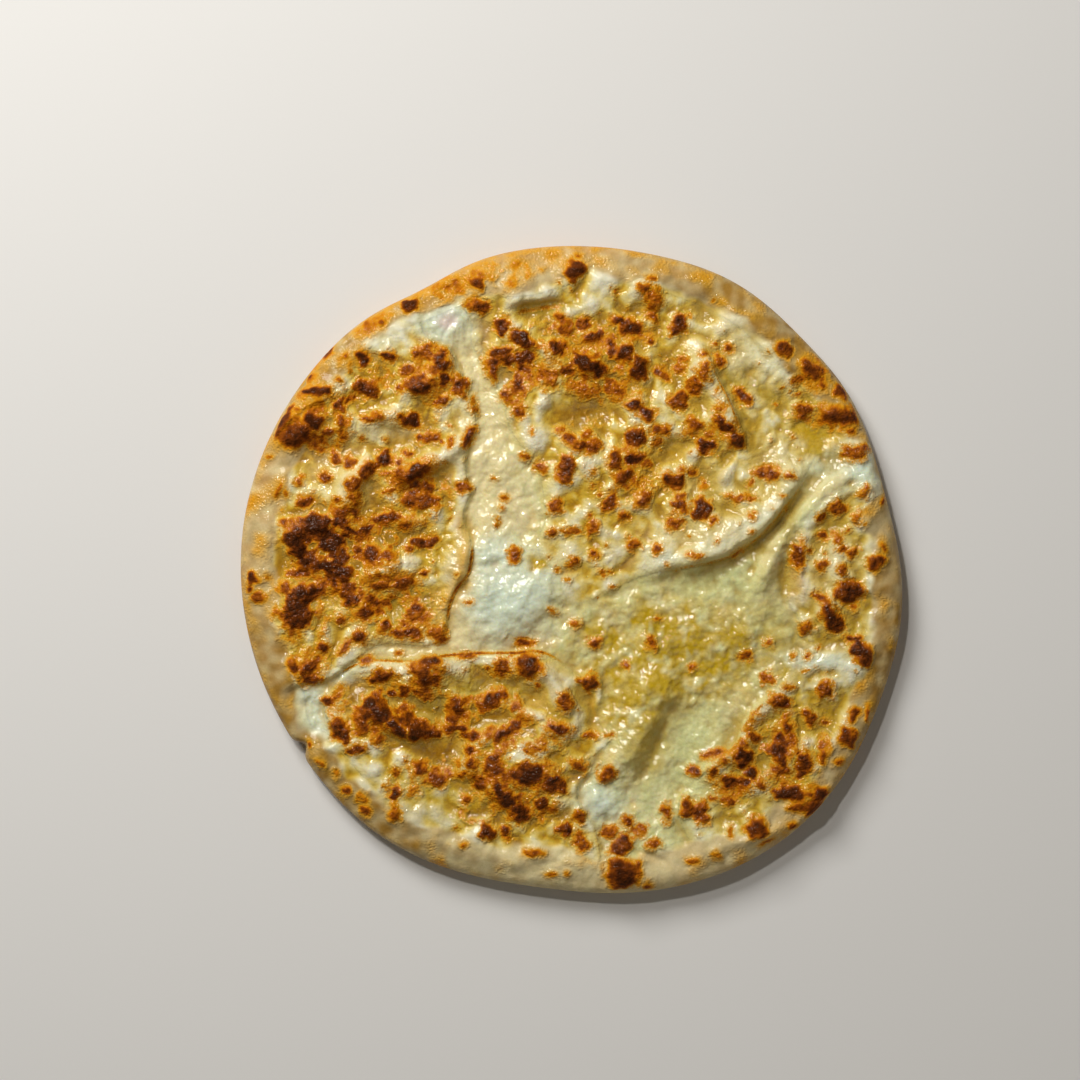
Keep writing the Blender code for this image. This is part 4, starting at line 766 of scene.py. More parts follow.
def add_spots(height, toast, spots):
    """Raises each browned blister and darkens it, with a golden halo round it."""
    for cx, cy, length, width, dark, *turn in spots:
        reach = 0.5 * max(length, width) + HALO_ROOM
        here = window(cx - reach, cx + reach, cy - reach, cy + reach)
        outside, q = spot_distance(here, cx, cy, length, width, *turn)
        bump = np.clip(1.0 - q**2.4, 0.0, 1.0) ** 0.75
        rise = BLISTER_SLOPE * min(width, BLISTER_WIDTH) * min(max(dark - 0.8, 0.25), 1.2)
        beyond = np.maximum(outside, 0.0)
        height[here] = np.maximum(height[here], rise * bump)
        height[here] += 0.5 * rise * np.exp(-((beyond / (0.35 * width + 1.0)) ** 2))
        core = smoothstep(0.3 - outside / (0.4 * width + 0.4))
        crust = dark * (0.4 + 0.6 * core) * smoothstep(0.5 - outside / 1.4)
        halo = sum(strength * np.exp(-((beyond / spread) ** 2)) for spread, strength in HALO)
        toast[here] = np.maximum.reduce([toast[here], crust, min(0.5 * dark, 1.0) * halo])


def freckles():
    """Small golden specks, scattered with a fixed seed."""
    draw = np.random.RandomState(7)
    made = []
    for _ in range(FRECKLES):
        radius, around = FRECKLE_REACH * math.sqrt(draw.rand()), 2.0 * math.pi * draw.rand()
        width = 0.9 + 2.0 * draw.rand() ** 2
        length = width * (1.0 + draw.rand())
        turn, dark = 180.0 * draw.rand(), 0.5 + 1.1 * draw.rand() ** 1.5
        made.append((radius * math.cos(around), radius * math.sin(around), length, width, dark,
                     turn))
    return made


def browning(height, browned_and_shade_zone, melt):
    """How far each place is browned, and how high its blisters stand."""
    toast, specks, blisters = np.zeros(X.shape), np.zeros(X.shape), np.zeros(X.shape)
    add_spots(blisters, toast, SPOTS)
    add_spots(blisters, specks, freckles())
    toast = np.maximum(toast, specks * (1.0 - 0.85 * melt))
    raised = np.clip(height - blurred(height, 4.0), -1.0, 1.0)
    patches = 0.52 + waves(BROWNED_PATCHES, bent=True) + 0.4 * raised
    golden = (0.1 + waves(GOLDEN_PATCHES)) * (1.0 - melt)
    # The broad zone is browning, and over the left and lower lobes also painted shade.
    broad = np.clip(browned_and_shade_zone * patches + 0.2 * np.maximum(golden, 0.0), 0.0, 2.4)
    return np.maximum(toast, broad) + 0.35 * np.minimum(toast, broad), blisters


def burnt_and_shade_lines():
    """For each thin dark line, burnt edge or painted shade: how dark it is, and its share of each
    place.
    """
    for points, width, dark in BURNT_AND_SHADE_LINES:
        left, along, _, _ = beside_line(points, LINE_REACH)
        line = tapered(along, 4.0) * np.exp(-((left / width) ** 2))
        yield dark, line * (0.8 + 0.3 * ripples(X, Y, 4.0, 49))


def finely_shaped(height, crust, grain, curds, melt, dough, wet, oily):
    """The height with the crust's grain, all ripples and the level butter."""
    crackle = GRAIN_HEIGHT * grain + FINE_GRAIN_HEIGHT * grains(X, Y, 1.2, 18) - CRUST_SINKS
    height = height + crust * crackle
    smooth_cheese = (1.0 - crust) * (1.0 - dough) * (1.0 - 0.75 * melt)
    height += smooth_cheese * waves(CHEESE_RIPPLES, bent=True)
    height += melt * waves(MOLTEN_RIPPLES, bent=True)
    height += oily * (CURD_HEIGHT * (curds - 0.4) + waves(BUTTER_RIPPLES))
    height += dough * waves(DOUGH_RIPPLES)
    level_butter = smoothstep((wet - 0.7) / 0.3)
    height += level_butter * (blurred(height, 3.0) - 0.1 - height)
    start = HIGHEST - SOFTLY_HELD
    over = np.maximum(height - start, 0.0)
    return np.minimum(height, start) + SOFTLY_HELD * (1.0 - np.exp(-over / SOFTLY_HELD))


def mix(colour, other, share):
    """The colour with that share of the other one over it."""
    return colour + (np.array(other) - colour) * np.clip(share, 0.0, 1.0)[..., None]


def cheese_colour(shade_and_tone, molten):
    """The cheese where it isn't browned: the lobes by their painted shade and light, the molten
    streams, then the patches of the table."""
    colour = np.stack([np.interp(shade_and_tone, CHEESE_SHADE_STEPS, channel)
                       for channel in np.transpose(CHEESE_SHADE_TO_LIGHT)], axis=-1)
    colour = mix(colour, STREAM, molten)
    pale = 0.4 + 0.5 * smoothstep(-X / 30.0) + waves(PALE_STREAKS)
    colour = mix(colour, PALE, molten * pale)
    streaks = smoothstep(waves(YELLOW_STREAKS, bent=True))
    colour = mix(colour, YELLOW, 0.3 * molten * streaks)
    uneven = (0.88 + 0.7 * ripples(SHIFTED_X, SHIFTED_Y, 8.0, 46)
              + 0.5 * ripples(SHIFTED_X, SHIFTED_Y, 3.2, 59))
    for here, oval, (tint, share) in ovals(TINTS_SHADE_AND_LIGHT):
        if tint in (BUTTER, AMBER):
            oval = oval * uneven[here]
        colour[here] = mix(colour[here], tint, share * oval)
    return colour


def with_painted_shade(colour, height, melt, dough):
    """The cheese's colour with painted shade: olive in hollows at the right, dark gold in creases
    and a warm tint on steep slopes.
    """
    shade_hollow = np.clip(blurred(height, 4.2) - height, 0.0, 1.0)
    to_the_right = smoothstep((X - 40.0) / 40.0 + 0.3)
    colour = mix(colour, OLIVE_SHADE, 0.6 * shade_hollow * to_the_right)
    painted_crease = smoothstep((blurred(height, 1.8) - blurred(height, 0.5) - 0.12) / 0.45)
    colour = mix(colour, CREASE_SHADE_COLOUR, 0.6 * painted_crease * (1.0 - dough) * (1.0 - 0.4 * melt))
    slope = np.hypot(*np.gradient(blurred(height, 1.0), CELL))
    return mix(colour, SLOPE_SHADE_HONEY, 0.4 * smoothstep(slope / 0.75) * (1.0 - 0.5 * melt))


def dough_looks():
    """The dough's colour with painted shade and light on parts of the rim, the browning of its
    patches and that of its outer edge.
    """
    warm = smoothstep(swells(DIRECTION, WARM_RIM) + 0.35 * ripples(X, Y, 12.0, 29))
    outer = smoothstep((11.0 - INWARDS) / 9.0 + 0.4 * ripples(X, Y, 8.0, 56))
    skin = np.broadcast_to(DOUGH_PALE, X.shape + (3,))
    skin = mix(skin, DOUGH_WARM, (0.25 + 0.75 * outer) * warm)
    # Tan dough and painted shade, darkest at the rim's lower left.
    tan_and_shade = swells(DIRECTION, TAN_AND_SHADED_RIM) * (1.0 + 0.5 * ripples(X, Y, 10.0, 38))
    skin = mix(skin, DOUGH_TAN_AND_SHADE, tan_and_shade)
    # Paler dough in random patches, and lighter at the bottom of the rim as painted light.
    skin = mix(skin, PALE, 0.12 + 0.3 * ripples(X, Y, 5.0, 30) + swells(DIRECTION, PAINTED_LIGHT_RIM))
    patches = np.clip(0.05 + 0.35 * warm + waves(DOUGH_PATCHES, bent=True), 0.0, 1.3)
    edge = (0.4 + 0.6 * warm) * smoothstep((7.0 - INWARDS) / 6.0) * (0.75 + waves(DOUGH_EDGE))
    return skin, 0.55 * patches, 0.6 * edge


def surface():
    """The grid's height and looks: colour without browning, browning, wetness and dough."""
    depths = lobe_depths()
    height = form(depths)
    in_lobe = np.maximum.reduce([depth for depth, _, _ in depths.values()])
    past_the_rim = INWARDS - 0.85 * rim_width(DIRECTION) + waves(RAGGED_EDGE)
    dough = 1.0 - smoothstep(past_the_rim / 3.5 + 0.5)
    melt = smoothstep(0.2 - in_lobe / 3.0) * (1.0 - dough)
    molten = smoothstep(0.45 - in_lobe / 9.0 + 0.3 * ripples(X, Y, 7.0, 55)) * (1.0 - dough)
    wet, cleared = oval_shares(WET), oval_shares(CLEARED)
    browned_and_shade_zone = oval_shares(BROWNED_AND_SHADE) * (1.0 - 0.75 * melt) * (1.0 - 0.8 * cleared)

    toast, blisters = browning(height, browned_and_shade_zone, melt)
    # Thin dark lines, burnt edges and painted shade, darken the colour and press the surface in a
    # little.
    for dark, line in burnt_and_shade_lines():
        toast = np.maximum(toast, dark * line)
        height = height - LINE_DEPTH * line
    crust = smoothstep((toast - LEAST_CRUST) / (FULL_CRUST - LEAST_CRUST))
    oily = smoothstep(np.clip(wet, 0.0, 1.0) * (1.0 - crust) / 0.4)
    grain = grains(X, Y, 1.8, 17)
    curds = grains(X + 0.4 * WANDER_X, Y + 0.4 * WANDER_Y, 2.7, 24)
    height = finely_shaped(height + blisters, crust, grain, curds, melt, dough, wet, oily)
    toast = toast + crust * (0.6 * (0.45 - grain) + 0.6 * ripples(X, Y, 3.2, 47) + 0.1)

    # Painted shade and light: the untoasted cheese is coloured darker in hollows and valleys and
    # lighter on tops.
    shade_hollow = np.clip(blurred(height, 4.2) - height, -1.0, 1.0)
    shade_valley = np.clip((blurred(height, 9.0) - height) / 2.2, 0.0, 1.0)
    shade_and_tone = 0.34 - 0.85 * shade_hollow - 0.55 * shade_valley + waves(LEVEL_RIPPLES)
    shade_and_tone += 0.45 * cleared - 0.5 * np.clip(browned_and_shade_zone, 0.0, 1.5)
    colour = cheese_colour(shade_and_tone, molten)
    colour = mix(colour, PALE, 0.1 * oily * smoothstep(2.0 * curds - 0.9))
    # Painted shade over the cheese's colour, in hollows, creases and on steep slopes.
    colour = with_painted_shade(colour, height, melt, dough)
    skin, dough_patches, dough_edge = dough_looks()
    colour = colour + (skin - colour) * dough[..., None]
    toast = np.maximum.reduce([toast, dough_patches * dough, dough_edge])
    return depths, height, colour, np.clip(toast, 0.0, BROWNING_MOST), wet, dough


DEPTHS, HEIGHT, COLOUR, TOAST, WETNESS, DOUGH = surface()
RELIEF = HEIGHT - rim_profile(X, Y)

# The pieces' outlines on the grid: each of its cells belongs to one of them.
OUTSIDE, MOLTEN = -1, 0
SIZE = X.size
SNAP = 1.3 * CELL                      # how far a corner may be moved onto a seam
MOST_ROUNDS = 12                       # of mending cells that meet only at a corner
WALL_ROOM = 0.3                        # how far a piece's hidden side stays clear of the next
SHARP = 72                             # where the surface turns more than this, an edge shows
SEEDS = {"molten_cheese": (-28, -14), "baked_cheese_upper": (10, 80), "baked_cheese_left": (-90, 0),
         "baked_cheese_lower": (-60, -80), "baked_cheese_right": (110, -60)}


def connected(mask, place):
    """The part of the mask that hangs together with the cell at the place."""
    row, column = int((place[1] - FIRST_Y) / CELL), int((place[0] - FIRST_X) / CELL)
    reached = np.zeros(mask.size, bool)
    front = np.array([row * mask.shape[1] + column])
    open_cells = mask.ravel()
    while front.size:
        reached[front] = True
        ahead = np.concatenate([front + step for step in (1, -1, mask.shape[1], -mask.shape[1])])
        ahead = np.unique(ahead)
        front = ahead[open_cells[ahead] & ~reached[ahead]]
    return reached.reshape(mask.shape)


def cell_owners():
    """The piece that each cell of the grid belongs to, with no loose cells and no two cells
    that meet only at a corner."""
    x, y = X[:-1, :-1] + 0.5 * CELL, Y[:-1, :-1] + 0.5 * CELL
    direction = np.degrees(np.arctan2(y, x))
    in_hollow = np.hypot(x, y) < outline_radius(direction) - rim_width(direction)
    owner = np.where(in_hollow, MOLTEN, OUTSIDE)
    for number, (node, (edge, _, _)) in enumerate(LOBES.items(), 1):
        inside = in_hollow & is_inside(lobe_outline(edge), x, y)
        owner[connected(inside, SEEDS[node])] = number
    loose = (owner == MOLTEN) & ~connected(owner == MOLTEN, SEEDS["molten_cheese"])
    while loose.any():
        neighbours = np.maximum.reduce([np.roll(owner * ~loose, step, axis)
                                        for axis in (0, 1) for step in (1, -1)])
        taken = loose & (neighbours > MOLTEN)
        if not taken.any():
            break
        owner[taken] = neighbours[taken]
        loose &= ~taken
    for _ in range(MOST_ROUNDS):
        a, b, c, d = owner[:-1, :-1], owner[:-1, 1:], owner[1:, :-1], owner[1:, 1:]
        rising = (a == d) & (b != a) & (c != a)
        falling = (b == c) & (a != b) & (d != b)
        if not (rising.any() or falling.any()):
            break
        b[rising] = a[rising]
        a[falling & ~rising] = b[falling & ~rising]
    return owner


def corner_places(owner):
    """The grid's corners, with those on a seam between two pieces moved onto its line."""
    x, y = X.copy(), Y.copy()
    around = np.stack([owner[:-1, :-1], owner[:-1, 1:], owner[1:, :-1], owner[1:, 1:]])
    highest, lowest = np.full(X.shape, OUTSIDE), np.full(X.shape, OUTSIDE)
    highest[1:-1, 1:-1], lowest[1:-1, 1:-1] = around.max(axis=0), around.min(axis=0)
    for number, node in enumerate(LOBES, 1):
        _, near_x, near_y = DEPTHS[node]
        on_seam = (highest == number) & (lowest < number) & (lowest > OUTSIDE)
        on_seam &= np.hypot(near_x - X, near_y - Y) < SNAP
        x[on_seam], y[on_seam] = near_x[on_seam], near_y[on_seam]
    far = np.hypot(X, Y)
    wanted = outline_radius(DIRECTION) - rim_width(DIRECTION)
    on_rim = (highest > OUTSIDE) & (lowest == OUTSIDE) & (np.abs(wanted - far) < SNAP)
    x[on_rim] = (X * wanted / far)[on_rim]
    y[on_rim] = (Y * wanted / far)[on_rim]
    return x.ravel(), y.ravel()


def cell_faces(mask):
    """The mask's cells as corner numbers, counter-clockwise from above."""
    rows, columns = np.nonzero(mask)
    first = rows * X.shape[1] + columns
    return np.stack([first, first + 1, first + X.shape[1] + 1, first + X.shape[1]], axis=1)


def border(faces):
    """The edges with a face on their left and none on their right."""
    edges = np.concatenate([faces[:, [k, (k + 1) % 4]] for k in range(4)])
    forth = edges[:, 0] * SIZE + edges[:, 1]
    back = edges[:, 1] * SIZE + edges[:, 0]
    return edges[~np.isin(forth, back)]


def ring(edges):
    """The edges chained to one ring of corners."""
    after = dict(zip(edges[:, 0].tolist(), edges[:, 1].tolist()))
    start = int(edges[0, 0])
    found = [start]
    while after[found[-1]] != start:
        found.append(after[found[-1]])
    return np.array(found)


def new_object(name, data):
    obj = bpy.data.objects.new(name, data)
    bpy.context.scene.collection.objects.link(obj)
    return obj


def new_piece(name, node, points, faces, x, y, under=None):
    """A shaded piece that stands for the node. x and y are where each point takes its looks."""
    mesh = bpy.data.meshes.new(name)
    placed = (points - (CENTRE[0], CENTRE[1], 0.0)) * MM
    mesh.from_pydata(placed.tolist(), [], faces)
    mesh.update()
    colours = np.concatenate([sample(COLOUR, x, y), np.ones((len(x), 1))], axis=1)
    tint = mesh.attributes.new("tint", "FLOAT_COLOR", "POINT")
    tint.data.foreach_set("color", colours.ravel())
    looks = {"toast": sample(TOAST, x, y), "wet": sample(WETNESS, x, y),
             "dough": sample(DOUGH, x, y),
             "under": np.zeros(len(x)) if under is None else under}
    for attribute, values in looks.items():
        mesh.attributes.new(attribute, "FLOAT", "POINT").data.foreach_set("value", values)
    mesh.shade_smooth()
    mesh.set_sharp_from_angle(angle=math.radians(SHARP))
    obj = new_object(name, mesh)
    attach(obj, "root")
    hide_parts(node)
    return obj


def walls(edges, upper, lower):
    """Upright faces below the edges, from the upper to the lower numbers of their corners."""
    a, b = edges[:, 0], edges[:, 1]
    return np.stack([lower[a], lower[b], upper[b], upper[a]], axis=1).tolist()


def numbered(corners, first):
    """For each corner of the grid its number among a piece's points, counted from the first."""
    number = np.full(SIZE, -1)
    number[corners] = first + np.arange(len(corners))
    return number


def lobe_piece(node, mask):
    """A browned lobe: its top on the grid, upright sides and a flat underside."""
    faces = cell_faces(mask)
    edges = border(faces)
    around = ring(edges)
    corners = np.unique(faces)
    top, low = numbered(corners, 0), numbered(around, len(corners))
    bottom = np.full(len(around), BASE_THICKNESS + FILLING_THICKNESS + WALL_ROOM)
    points = np.concatenate([
        np.stack([PLACE_X[corners], PLACE_Y[corners], PLACE_Z[corners]], axis=1),
        np.stack([PLACE_X[around], PLACE_Y[around], bottom], axis=1),
    ])
    polygons = top[faces].tolist() + walls(edges, top, low) + [low[around[::-1]].tolist()]
    return new_piece(node + "_top", node, points, polygons, points[:, 0], points[:, 1])


def molten_piece(owner):
    """The molten cheese: a layer under the lobes, up to the surface where it wells up."""
    faces = cell_faces(owner == MOLTEN)
    edges = border(faces)
    corners = np.unique(faces)
    whole_edges = border(cell_faces(owner > OUTSIDE))
    whole_ring = ring(whole_edges)
    lobe_rings = [ring(border(cell_faces(owner == number)))
                  for number in range(1, len(LOBES) + 1)]
    layer = np.unique(np.concatenate([edges[:, 0], whole_ring, *lobe_rings]))
    top, middle = numbered(corners, 0), numbered(layer, len(corners))
    low = numbered(whole_ring, len(corners) + len(layer))
    heights = [PLACE_Z[corners], np.full(len(layer), BASE_THICKNESS + FILLING_THICKNESS),
               np.full(len(whole_ring), BASE_THICKNESS + WALL_ROOM)]
    order = np.concatenate([corners, layer, whole_ring])
    points = np.stack([PLACE_X[order], PLACE_Y[order], np.concatenate(heights)], axis=1)
    polygons = top[faces].tolist() + walls(edges, top, middle) + walls(whole_edges, middle, low)
    polygons += [middle[around].tolist() for around in lobe_rings]
    polygons.append(low[whole_ring[::-1]].tolist())
    return new_piece("molten_top", "molten_cheese", points, polygons, points[:, 0], points[:, 1])


SECTORS = 1240
INNER_RINGS, OUTER_RINGS, SIDE_RINGS = 18, 26, 15
CREST_SHARE = 0.55                     # of the rim's width, from the outline in to its crest
FADE = 2.5                             # over this far from the outline the relief fades away
DENT = 0.7                             # depth of the dents in the side
# The hollow's wall goes up hidden behind the cheese: (outwards from the rim, below its top).
HIDDEN_WALL = [(0.3, 1.2), (-0.5, 0.35)]


def bread_top(x, y, inwards):
    """Height of the dough's top, with the relief fading away at the outline."""
    return rim_profile(x, y) + sample(RELIEF, x, y) * smoothstep(inwards / FADE)


def bread_rings(unit, reach, width):
    """Radius, height and share of the underside's looks for each ring of the dough, from the
    hollow's floor over the rim to the base, and the number of the ring along the crest."""
    def top(radius):
        return bread_top(radius * unit[0], radius * unit[1], reach - radius)

    inner, crest = reach - width, CREST_SHARE * width
    rings = [(inner + WALL_ROOM, np.full(SECTORS, BASE_THICKNESS), 0.0)]
    rings += [(inner + out, top(inner) - below, 0.0) for out, below in HIDDEN_WALL]
    for share in np.linspace(0.0, 1.0, INNER_RINGS, endpoint=False):
        radius = inner + 0.02 + share * (width - crest)
        rings.append((radius, top(radius), 0.0))
    crest_ring = len(rings)
    for turn in np.linspace(0.5 * math.pi, 0.0, OUTER_RINGS):
        radius = reach - crest * (1.0 - math.cos(turn))
        rings.append((radius, top(radius), 0.0))
    for turn in np.linspace(0.0, 0.5 * math.pi, SIDE_RINGS)[1:]:
        radius = reach - BASE_INSET * (1.0 - math.cos(turn))
        z = SIDE_HEIGHT * (1.0 - math.sin(turn))
        x, y = radius * unit[0], radius * unit[1]
        dents = 0.5 + 0.5 * ripples(x + 3 * z, y - 2 * z, 7.0, 71)
        radius = radius - DENT * np.clip(dents, 0.0, 1.0) * math.sin(2.0 * turn)
        rings.append((radius, np.full(SECTORS, z), smoothstep(turn / 0.9 - 0.2)))
    return rings, crest_ring


def bread_piece():
    """The dough: hollow floor and wall, rim, bulging side and flat base, ring by ring."""
    direction = (np.arange(SECTORS) + 0.5) * 360.0 / SECTORS
    direction = np.where(direction > 180.0, direction - 360.0, direction)
    unit = np.stack([np.cos(np.radians(direction)), np.sin(np.radians(direction))])
    rings, crest_ring = bread_rings(unit, outline_radius(direction) - OUTLINE_ROOM,
                                    rim_width(direction))
    points = np.concatenate([np.stack([radius * unit[0], radius * unit[1], z], axis=1)
                             for radius, z, _ in rings])
    faces = []
    for first in range(0, len(points) - SECTORS, SECTORS):
        i = first + np.arange(SECTORS)
        j = first + (np.arange(SECTORS) + 1) % SECTORS
        faces += np.stack([i, i + SECTORS, j + SECTORS, j], axis=1).tolist()
    faces.append(list(range(SECTORS)))
    faces.append(list(range(len(points) - 1, len(points) - 1 - SECTORS, -1)))
    # A steep side takes its looks from as far outside the outline as it goes down.
    outwards = np.hypot(points[:, 0], points[:, 1]).reshape(len(rings), SECTORS)
    upwards = points[:, 2].reshape(len(rings), SECTORS)
    steep = np.zeros(outwards.shape)
    steep[1:] = np.abs(np.diff(upwards, axis=0)) - np.abs(np.diff(outwards, axis=0))
    steep[:crest_ring + 1] = 0.0
    further = (1.0 + np.cumsum(np.maximum(steep, 0.0), axis=0) / outwards).ravel()
    under = np.repeat([share for _, _, share in rings], SECTORS)
    return new_piece("bread_crust", "bread", points, faces, points[:, 0] * further,
                     points[:, 1] * further, under)


class Graph:
    """A material's nodes, made one by one and linked as they are made."""

    def __init__(self, name):
        self.material = bpy.data.materials.new(name)
        self.material.use_nodes = True
        self.tree = self.material.node_tree
        self.shader = self.tree.nodes["Principled BSDF"]

    def add(self, kind, **inputs):
        made = self.tree.nodes.new(kind)
        for socket, value in inputs.items():
            self.put(made, socket, value)
        return made

    def put(self, made, socket, value):
        target = made.inputs[int(socket[1:]) if socket[1:].isdigit() else socket]
        if isinstance(value, bpy.types.NodeSocket):
            self.tree.links.new(value, target)
        else:
            target.default_value = value

    def set_shader(self, values):
        for socket, value in values.items():
            self.put(self.shader, socket, value)

    def math(self, operation, a, b):
        made = self.add("ShaderNodeMath", i0=a, i1=b)
        made.operation = operation
        return made.outputs[0]

    def plus(self, a, b):
        return self.math("ADD", a, b)

    def minus(self, a, b):
        return self.math("SUBTRACT", a, b)

    def times(self, a, b):
        return self.math("MULTIPLY", a, b)

    def attribute(self, name, output="Fac"):
        made = self.tree.nodes.new("ShaderNodeAttribute")
        made.attribute_name = name
        return made.outputs[output]

    def noise(self, place, millimetres, detail):
        made = self.add("ShaderNodeTexNoise", Vector=place, Scale=1.0 / (millimetres * MM),
                        Detail=detail, Roughness=0.6)
        return made.outputs["Fac"]

    def ramp(self, value, stops):
        made = self.add("ShaderNodeValToRGB", Fac=value)
        elements = made.color_ramp.elements
        while len(elements) < len(stops):
            elements.new(0.5)
        for element, (position, colour) in zip(elements, stops):
            element.position = position
            element.color = (*colour, 1.0)
        return made.outputs["Color"]

    def between(self, value, low, high, to_low=0.0, to_high=1.0):
        made = self.add("ShaderNodeMapRange", Value=value)
        made.interpolation_type = "SMOOTHSTEP"
        for socket, amount in (("From Min", low), ("From Max", high), ("To Min", to_low),
                               ("To Max", to_high)):
            self.put(made, socket, amount)
        return made.outputs[0]

    def mix(self, share, a, b, kind="MIX"):
        made = self.tree.nodes.new("ShaderNodeMix")
        made.data_type = "RGBA"
        made.blend_type = kind
        for socket, value in (("i0", share), ("i6", a), ("i7", b)):
            self.put(made, socket, value)
        return made.outputs[2]


# From golden to nearly black: (share of the browning, colour).
BROWNING = [
    (0.00, (0.76, 0.49, 0.08)), (0.13, (0.70, 0.36, 0.018)), (0.27, (0.60, 0.23, 0.004)),
    (0.43, (0.45, 0.128, 0.002)), (0.60, (0.27, 0.065, 0.002)), (0.80, (0.135, 0.029, 0.002)),
    (1.00, (0.055, 0.013, 0.002)),
]
FINE, MIDDLE, BROAD = 0.8, 2.6, 9.0    # sizes of the mottling
COARSE_GRAIN, FINE_GRAIN = 1.7, 0.95   # and of the grains in the bump
CRUST_DEPTH = 0.36                     # how much deeper the grain of a browned crust is
CALM_DOUGH = 0.75                      # how much less mottled the dough's browning is
DRY_DOUGH, BUTTER_GLOSS = 0.3, 0.22    # added to the roughness, and taken from it
LEAST_ROUGHNESS, COAT_ROUGHNESS, SPECULAR = 0.06, 0.06, 0.06
CRISP_COAT = 0.22                      # share of the coat that is left on a dark crust
SCATTERED = (1.0, 0.75, 0.35)          # how far red, green and blue light goes into the food,
SCATTER_DEPTH = 0.003                  # as shares of this depth in metres


def toasting(g, fine, middle, broad):
    """How browned each place is with its mottling, and where there is any browning."""
    scorch = g.between(g.plus(broad, g.times(middle, 0.25)), 0.5, 0.92, 0.02, 2.0)
    toast = g.plus(g.attribute("toast"), g.times(scorch, g.attribute("under")))
    there = g.between(toast, 0.05, 0.5)
    stir = g.plus(g.times(g.minus(fine, 0.5), 1.1), g.times(g.minus(middle, 0.5), 0.9))
    stir = g.times(stir, g.minus(1.0, g.times(g.attribute("dough"), CALM_DOUGH)))
    return g.plus(toast, g.times(stir, there)), there


def food_colour(g, fine, middle, toast):
    """The mottled tint of the surface, with the browning over it."""
    mottle = g.between(g.plus(g.times(fine, 0.5), middle), 0.5, 1.0, 0.92, 1.07)
    mottled = g.add("ShaderNodeCombineColor", Red=mottle, Green=mottle,
                    Blue=g.math("POWER", mottle, 1.6)).outputs[0]
    tint = g.mix(1.0, g.attribute("tint", "Color"), mottled, "MULTIPLY")
    browned = g.ramp(g.math("DIVIDE", toast, BROWNING_MOST), BROWNING)
    return g.mix(g.between(toast, 0.05, 0.8), tint, browned)


def roughness(g, gloss, fine):
    """Finely uneven, drier on the dough and smoother under butter."""
    rough = g.plus(g.plus(gloss, g.times(fine, 0.12)), g.times(g.attribute("dough"), DRY_DOUGH))
    rough = g.minus(rough, g.times(g.attribute("wet"), BUTTER_GLOSS))
    return g.math("MAXIMUM", rough, LEAST_ROUGHNESS)


def food_material(name, gloss, coat, soft, depth):
    """Baked food: its colour browned where it is toasted, finely rough, wet with butter."""
    g = Graph(name)
    place = g.tree.nodes.new("ShaderNodeTexCoord").outputs["Object"]
    fine, middle = g.noise(place, FINE, 3.0), g.noise(place, MIDDLE, 3.0)
    toast, there = toasting(g, fine, middle, g.noise(place, BROAD, 4.0))
    grain = g.plus(g.times(g.noise(place, COARSE_GRAIN, 1.0), 1.3),
                   g.noise(place, FINE_GRAIN, 0.0))
    depth = g.plus(depth, g.times(there, CRUST_DEPTH))
    bump = g.add("ShaderNodeBump", Height=g.times(grain, depth), Distance=MM).outputs[0]
    g.set_shader({
        "Base Color": food_colour(g, fine, middle, toast),
        "Roughness": roughness(g, gloss, fine), "Specular IOR Level": SPECULAR,
        "Coat Weight": g.times(coat, g.between(toast, 0.4, 1.5, 1.0, CRISP_COAT)),
        "Coat Roughness": COAT_ROUGHNESS, "Subsurface Weight": soft,
        "Subsurface Radius": SCATTERED, "Subsurface Scale": SCATTER_DEPTH,
        "Normal": bump, "Coat Normal": bump,
    })
    return g.material


def floor_material():
    g = Graph("pale_floor")
    g.set_shader({"Base Color": (0.72, 0.71, 0.69, 1.0), "Roughness": 0.9})
    return g.material


def add_floor():
    """A wide floor just under the bread, in metres."""
    mesh = bpy.data.meshes.new("floor")
    half = 3.0
    below = -0.0001
    corners = [(-half, -half, below), (half, -half, below), (half, half, below),
               (-half, half, below)]
    mesh.from_pydata(corners, [], [(0, 1, 2, 3)])
    mesh.materials.append(floor_material())
    floor = new_object("floor", mesh)


# Lamps: (name, place in metres, size, power in watts, colour).
LAMPS = [
    ("window", (-0.62, 0.97, 0.98), 0.6, 20.0, (1.0, 0.985, 0.955)),
    ("lamp", (-0.36, 0.60, 1.25), 0.065, 5.0, (1.0, 0.97, 0.92)),
    ("fill", (0.5, -0.7, 0.9), 0.9, 1.2, (1.0, 0.92, 0.80)),
]
AMBIENT_COLOUR, AMBIENT_STRENGTH = (1.0, 0.94, 0.86, 1.0), 0.06


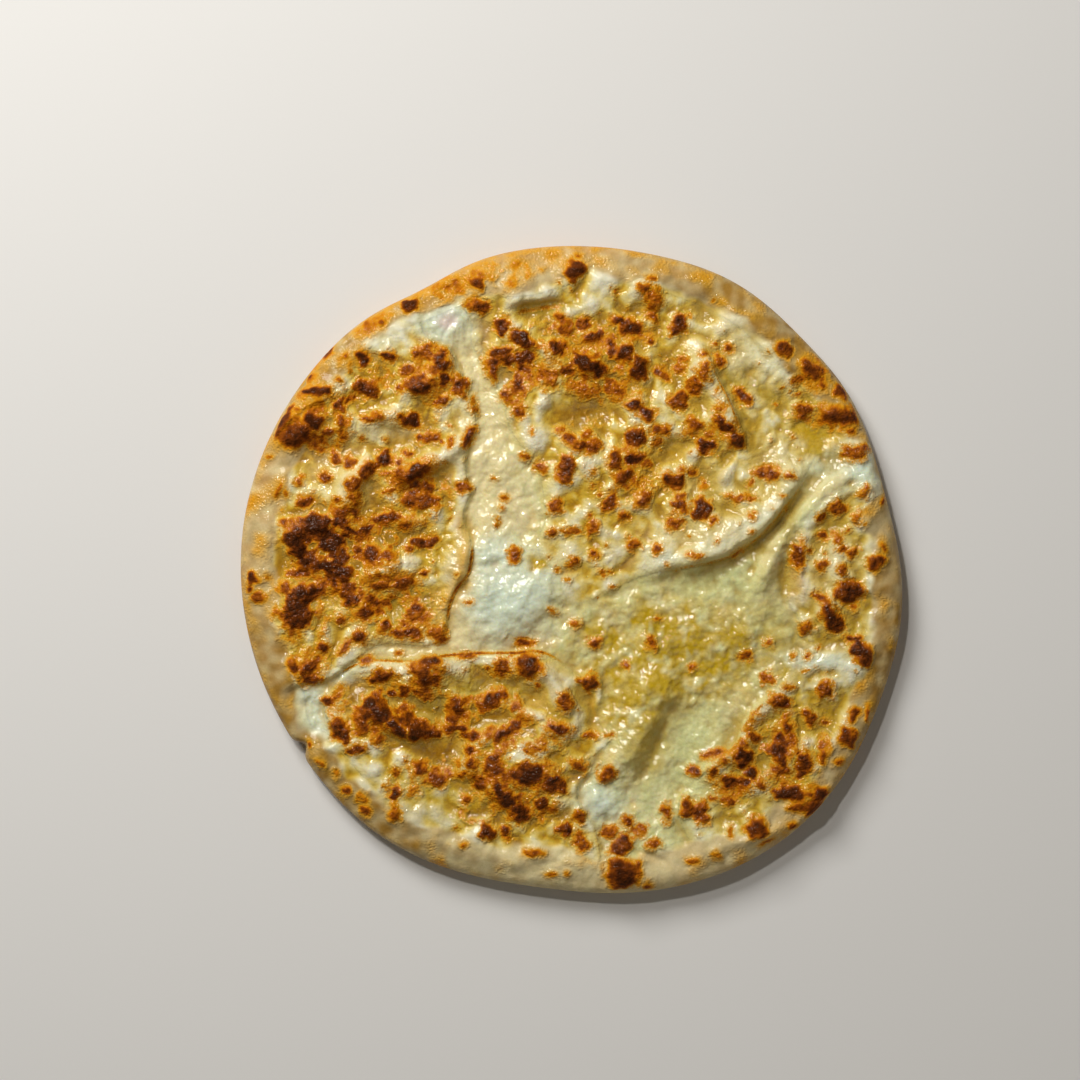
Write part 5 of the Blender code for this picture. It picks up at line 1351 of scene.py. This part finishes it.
def add_light(name, place, size, power, colour):
    """A square lamp that faces the bread."""
    lamp = bpy.data.lights.new(name, "AREA")
    lamp.shape = "SQUARE"
    lamp.size = size
    lamp.energy = power
    lamp.color = colour
    obj = new_object(name, lamp)
    obj.location = place
    obj.rotation_euler = (-Vector(place)).to_track_quat("-Z", "Y").to_euler()


# The photo's frame: its middle above the bread, and how much it takes in at the bread.
FRAME_MIDDLE = (-13.5, 12.7)
FRAME_WIDTH = 464.4
CAMERA_HEIGHT = 1200.0
SENSOR = 36.0


def add_camera():
    """Straight above, as the photo was taken."""
    camera = bpy.data.cameras.new("camera")
    camera.sensor_width = SENSOR
    camera.lens = SENSOR * (CAMERA_HEIGHT - CHEESE_HEIGHT) / FRAME_WIDTH
    obj = new_object("camera", camera)
    obj.location = ((FRAME_MIDDLE[0] - CENTRE[0]) * MM, (FRAME_MIDDLE[1] - CENTRE[1]) * MM,
                    CAMERA_HEIGHT * MM)
    bpy.context.scene.camera = obj


def add_surroundings():
    add_floor()
    for lamp in LAMPS:
        add_light(*lamp)
    world = bpy.data.worlds.new("studio")
    world.use_nodes = True
    background = world.node_tree.nodes["Background"]
    background.inputs["Color"].default_value = AMBIENT_COLOUR
    background.inputs["Strength"].default_value = AMBIENT_STRENGTH
    bpy.context.scene.world = world
    bpy.context.scene.view_settings.view_transform = "Standard"


OWNER = cell_owners()
PLACE_X, PLACE_Y = corner_places(OWNER)
PLACE_Z = sample(HEIGHT, PLACE_X, PLACE_Y)

# Slot: name, roughness, coat, softness and depth of the grain.
MATERIALS = {
    "dough": food_material("dough", 0.42, 0.3, 0.10, 0.06),
    "molten_cheese": food_material("molten_cheese", 0.38, 0.8, 0.45, 0.10),
    "baked_cheese": food_material("baked_cheese", 0.40, 0.8, 0.30, 0.14),
}
made = [(bread_piece(), "dough"), (molten_piece(OWNER), "molten_cheese")]
made += [(lobe_piece(node, OWNER == number), "baked_cheese")
         for number, node in enumerate(LOBES, 1)]
for food, slot in made:
    food.data.materials.append(MATERIALS[slot])

add_surroundings()
add_camera()
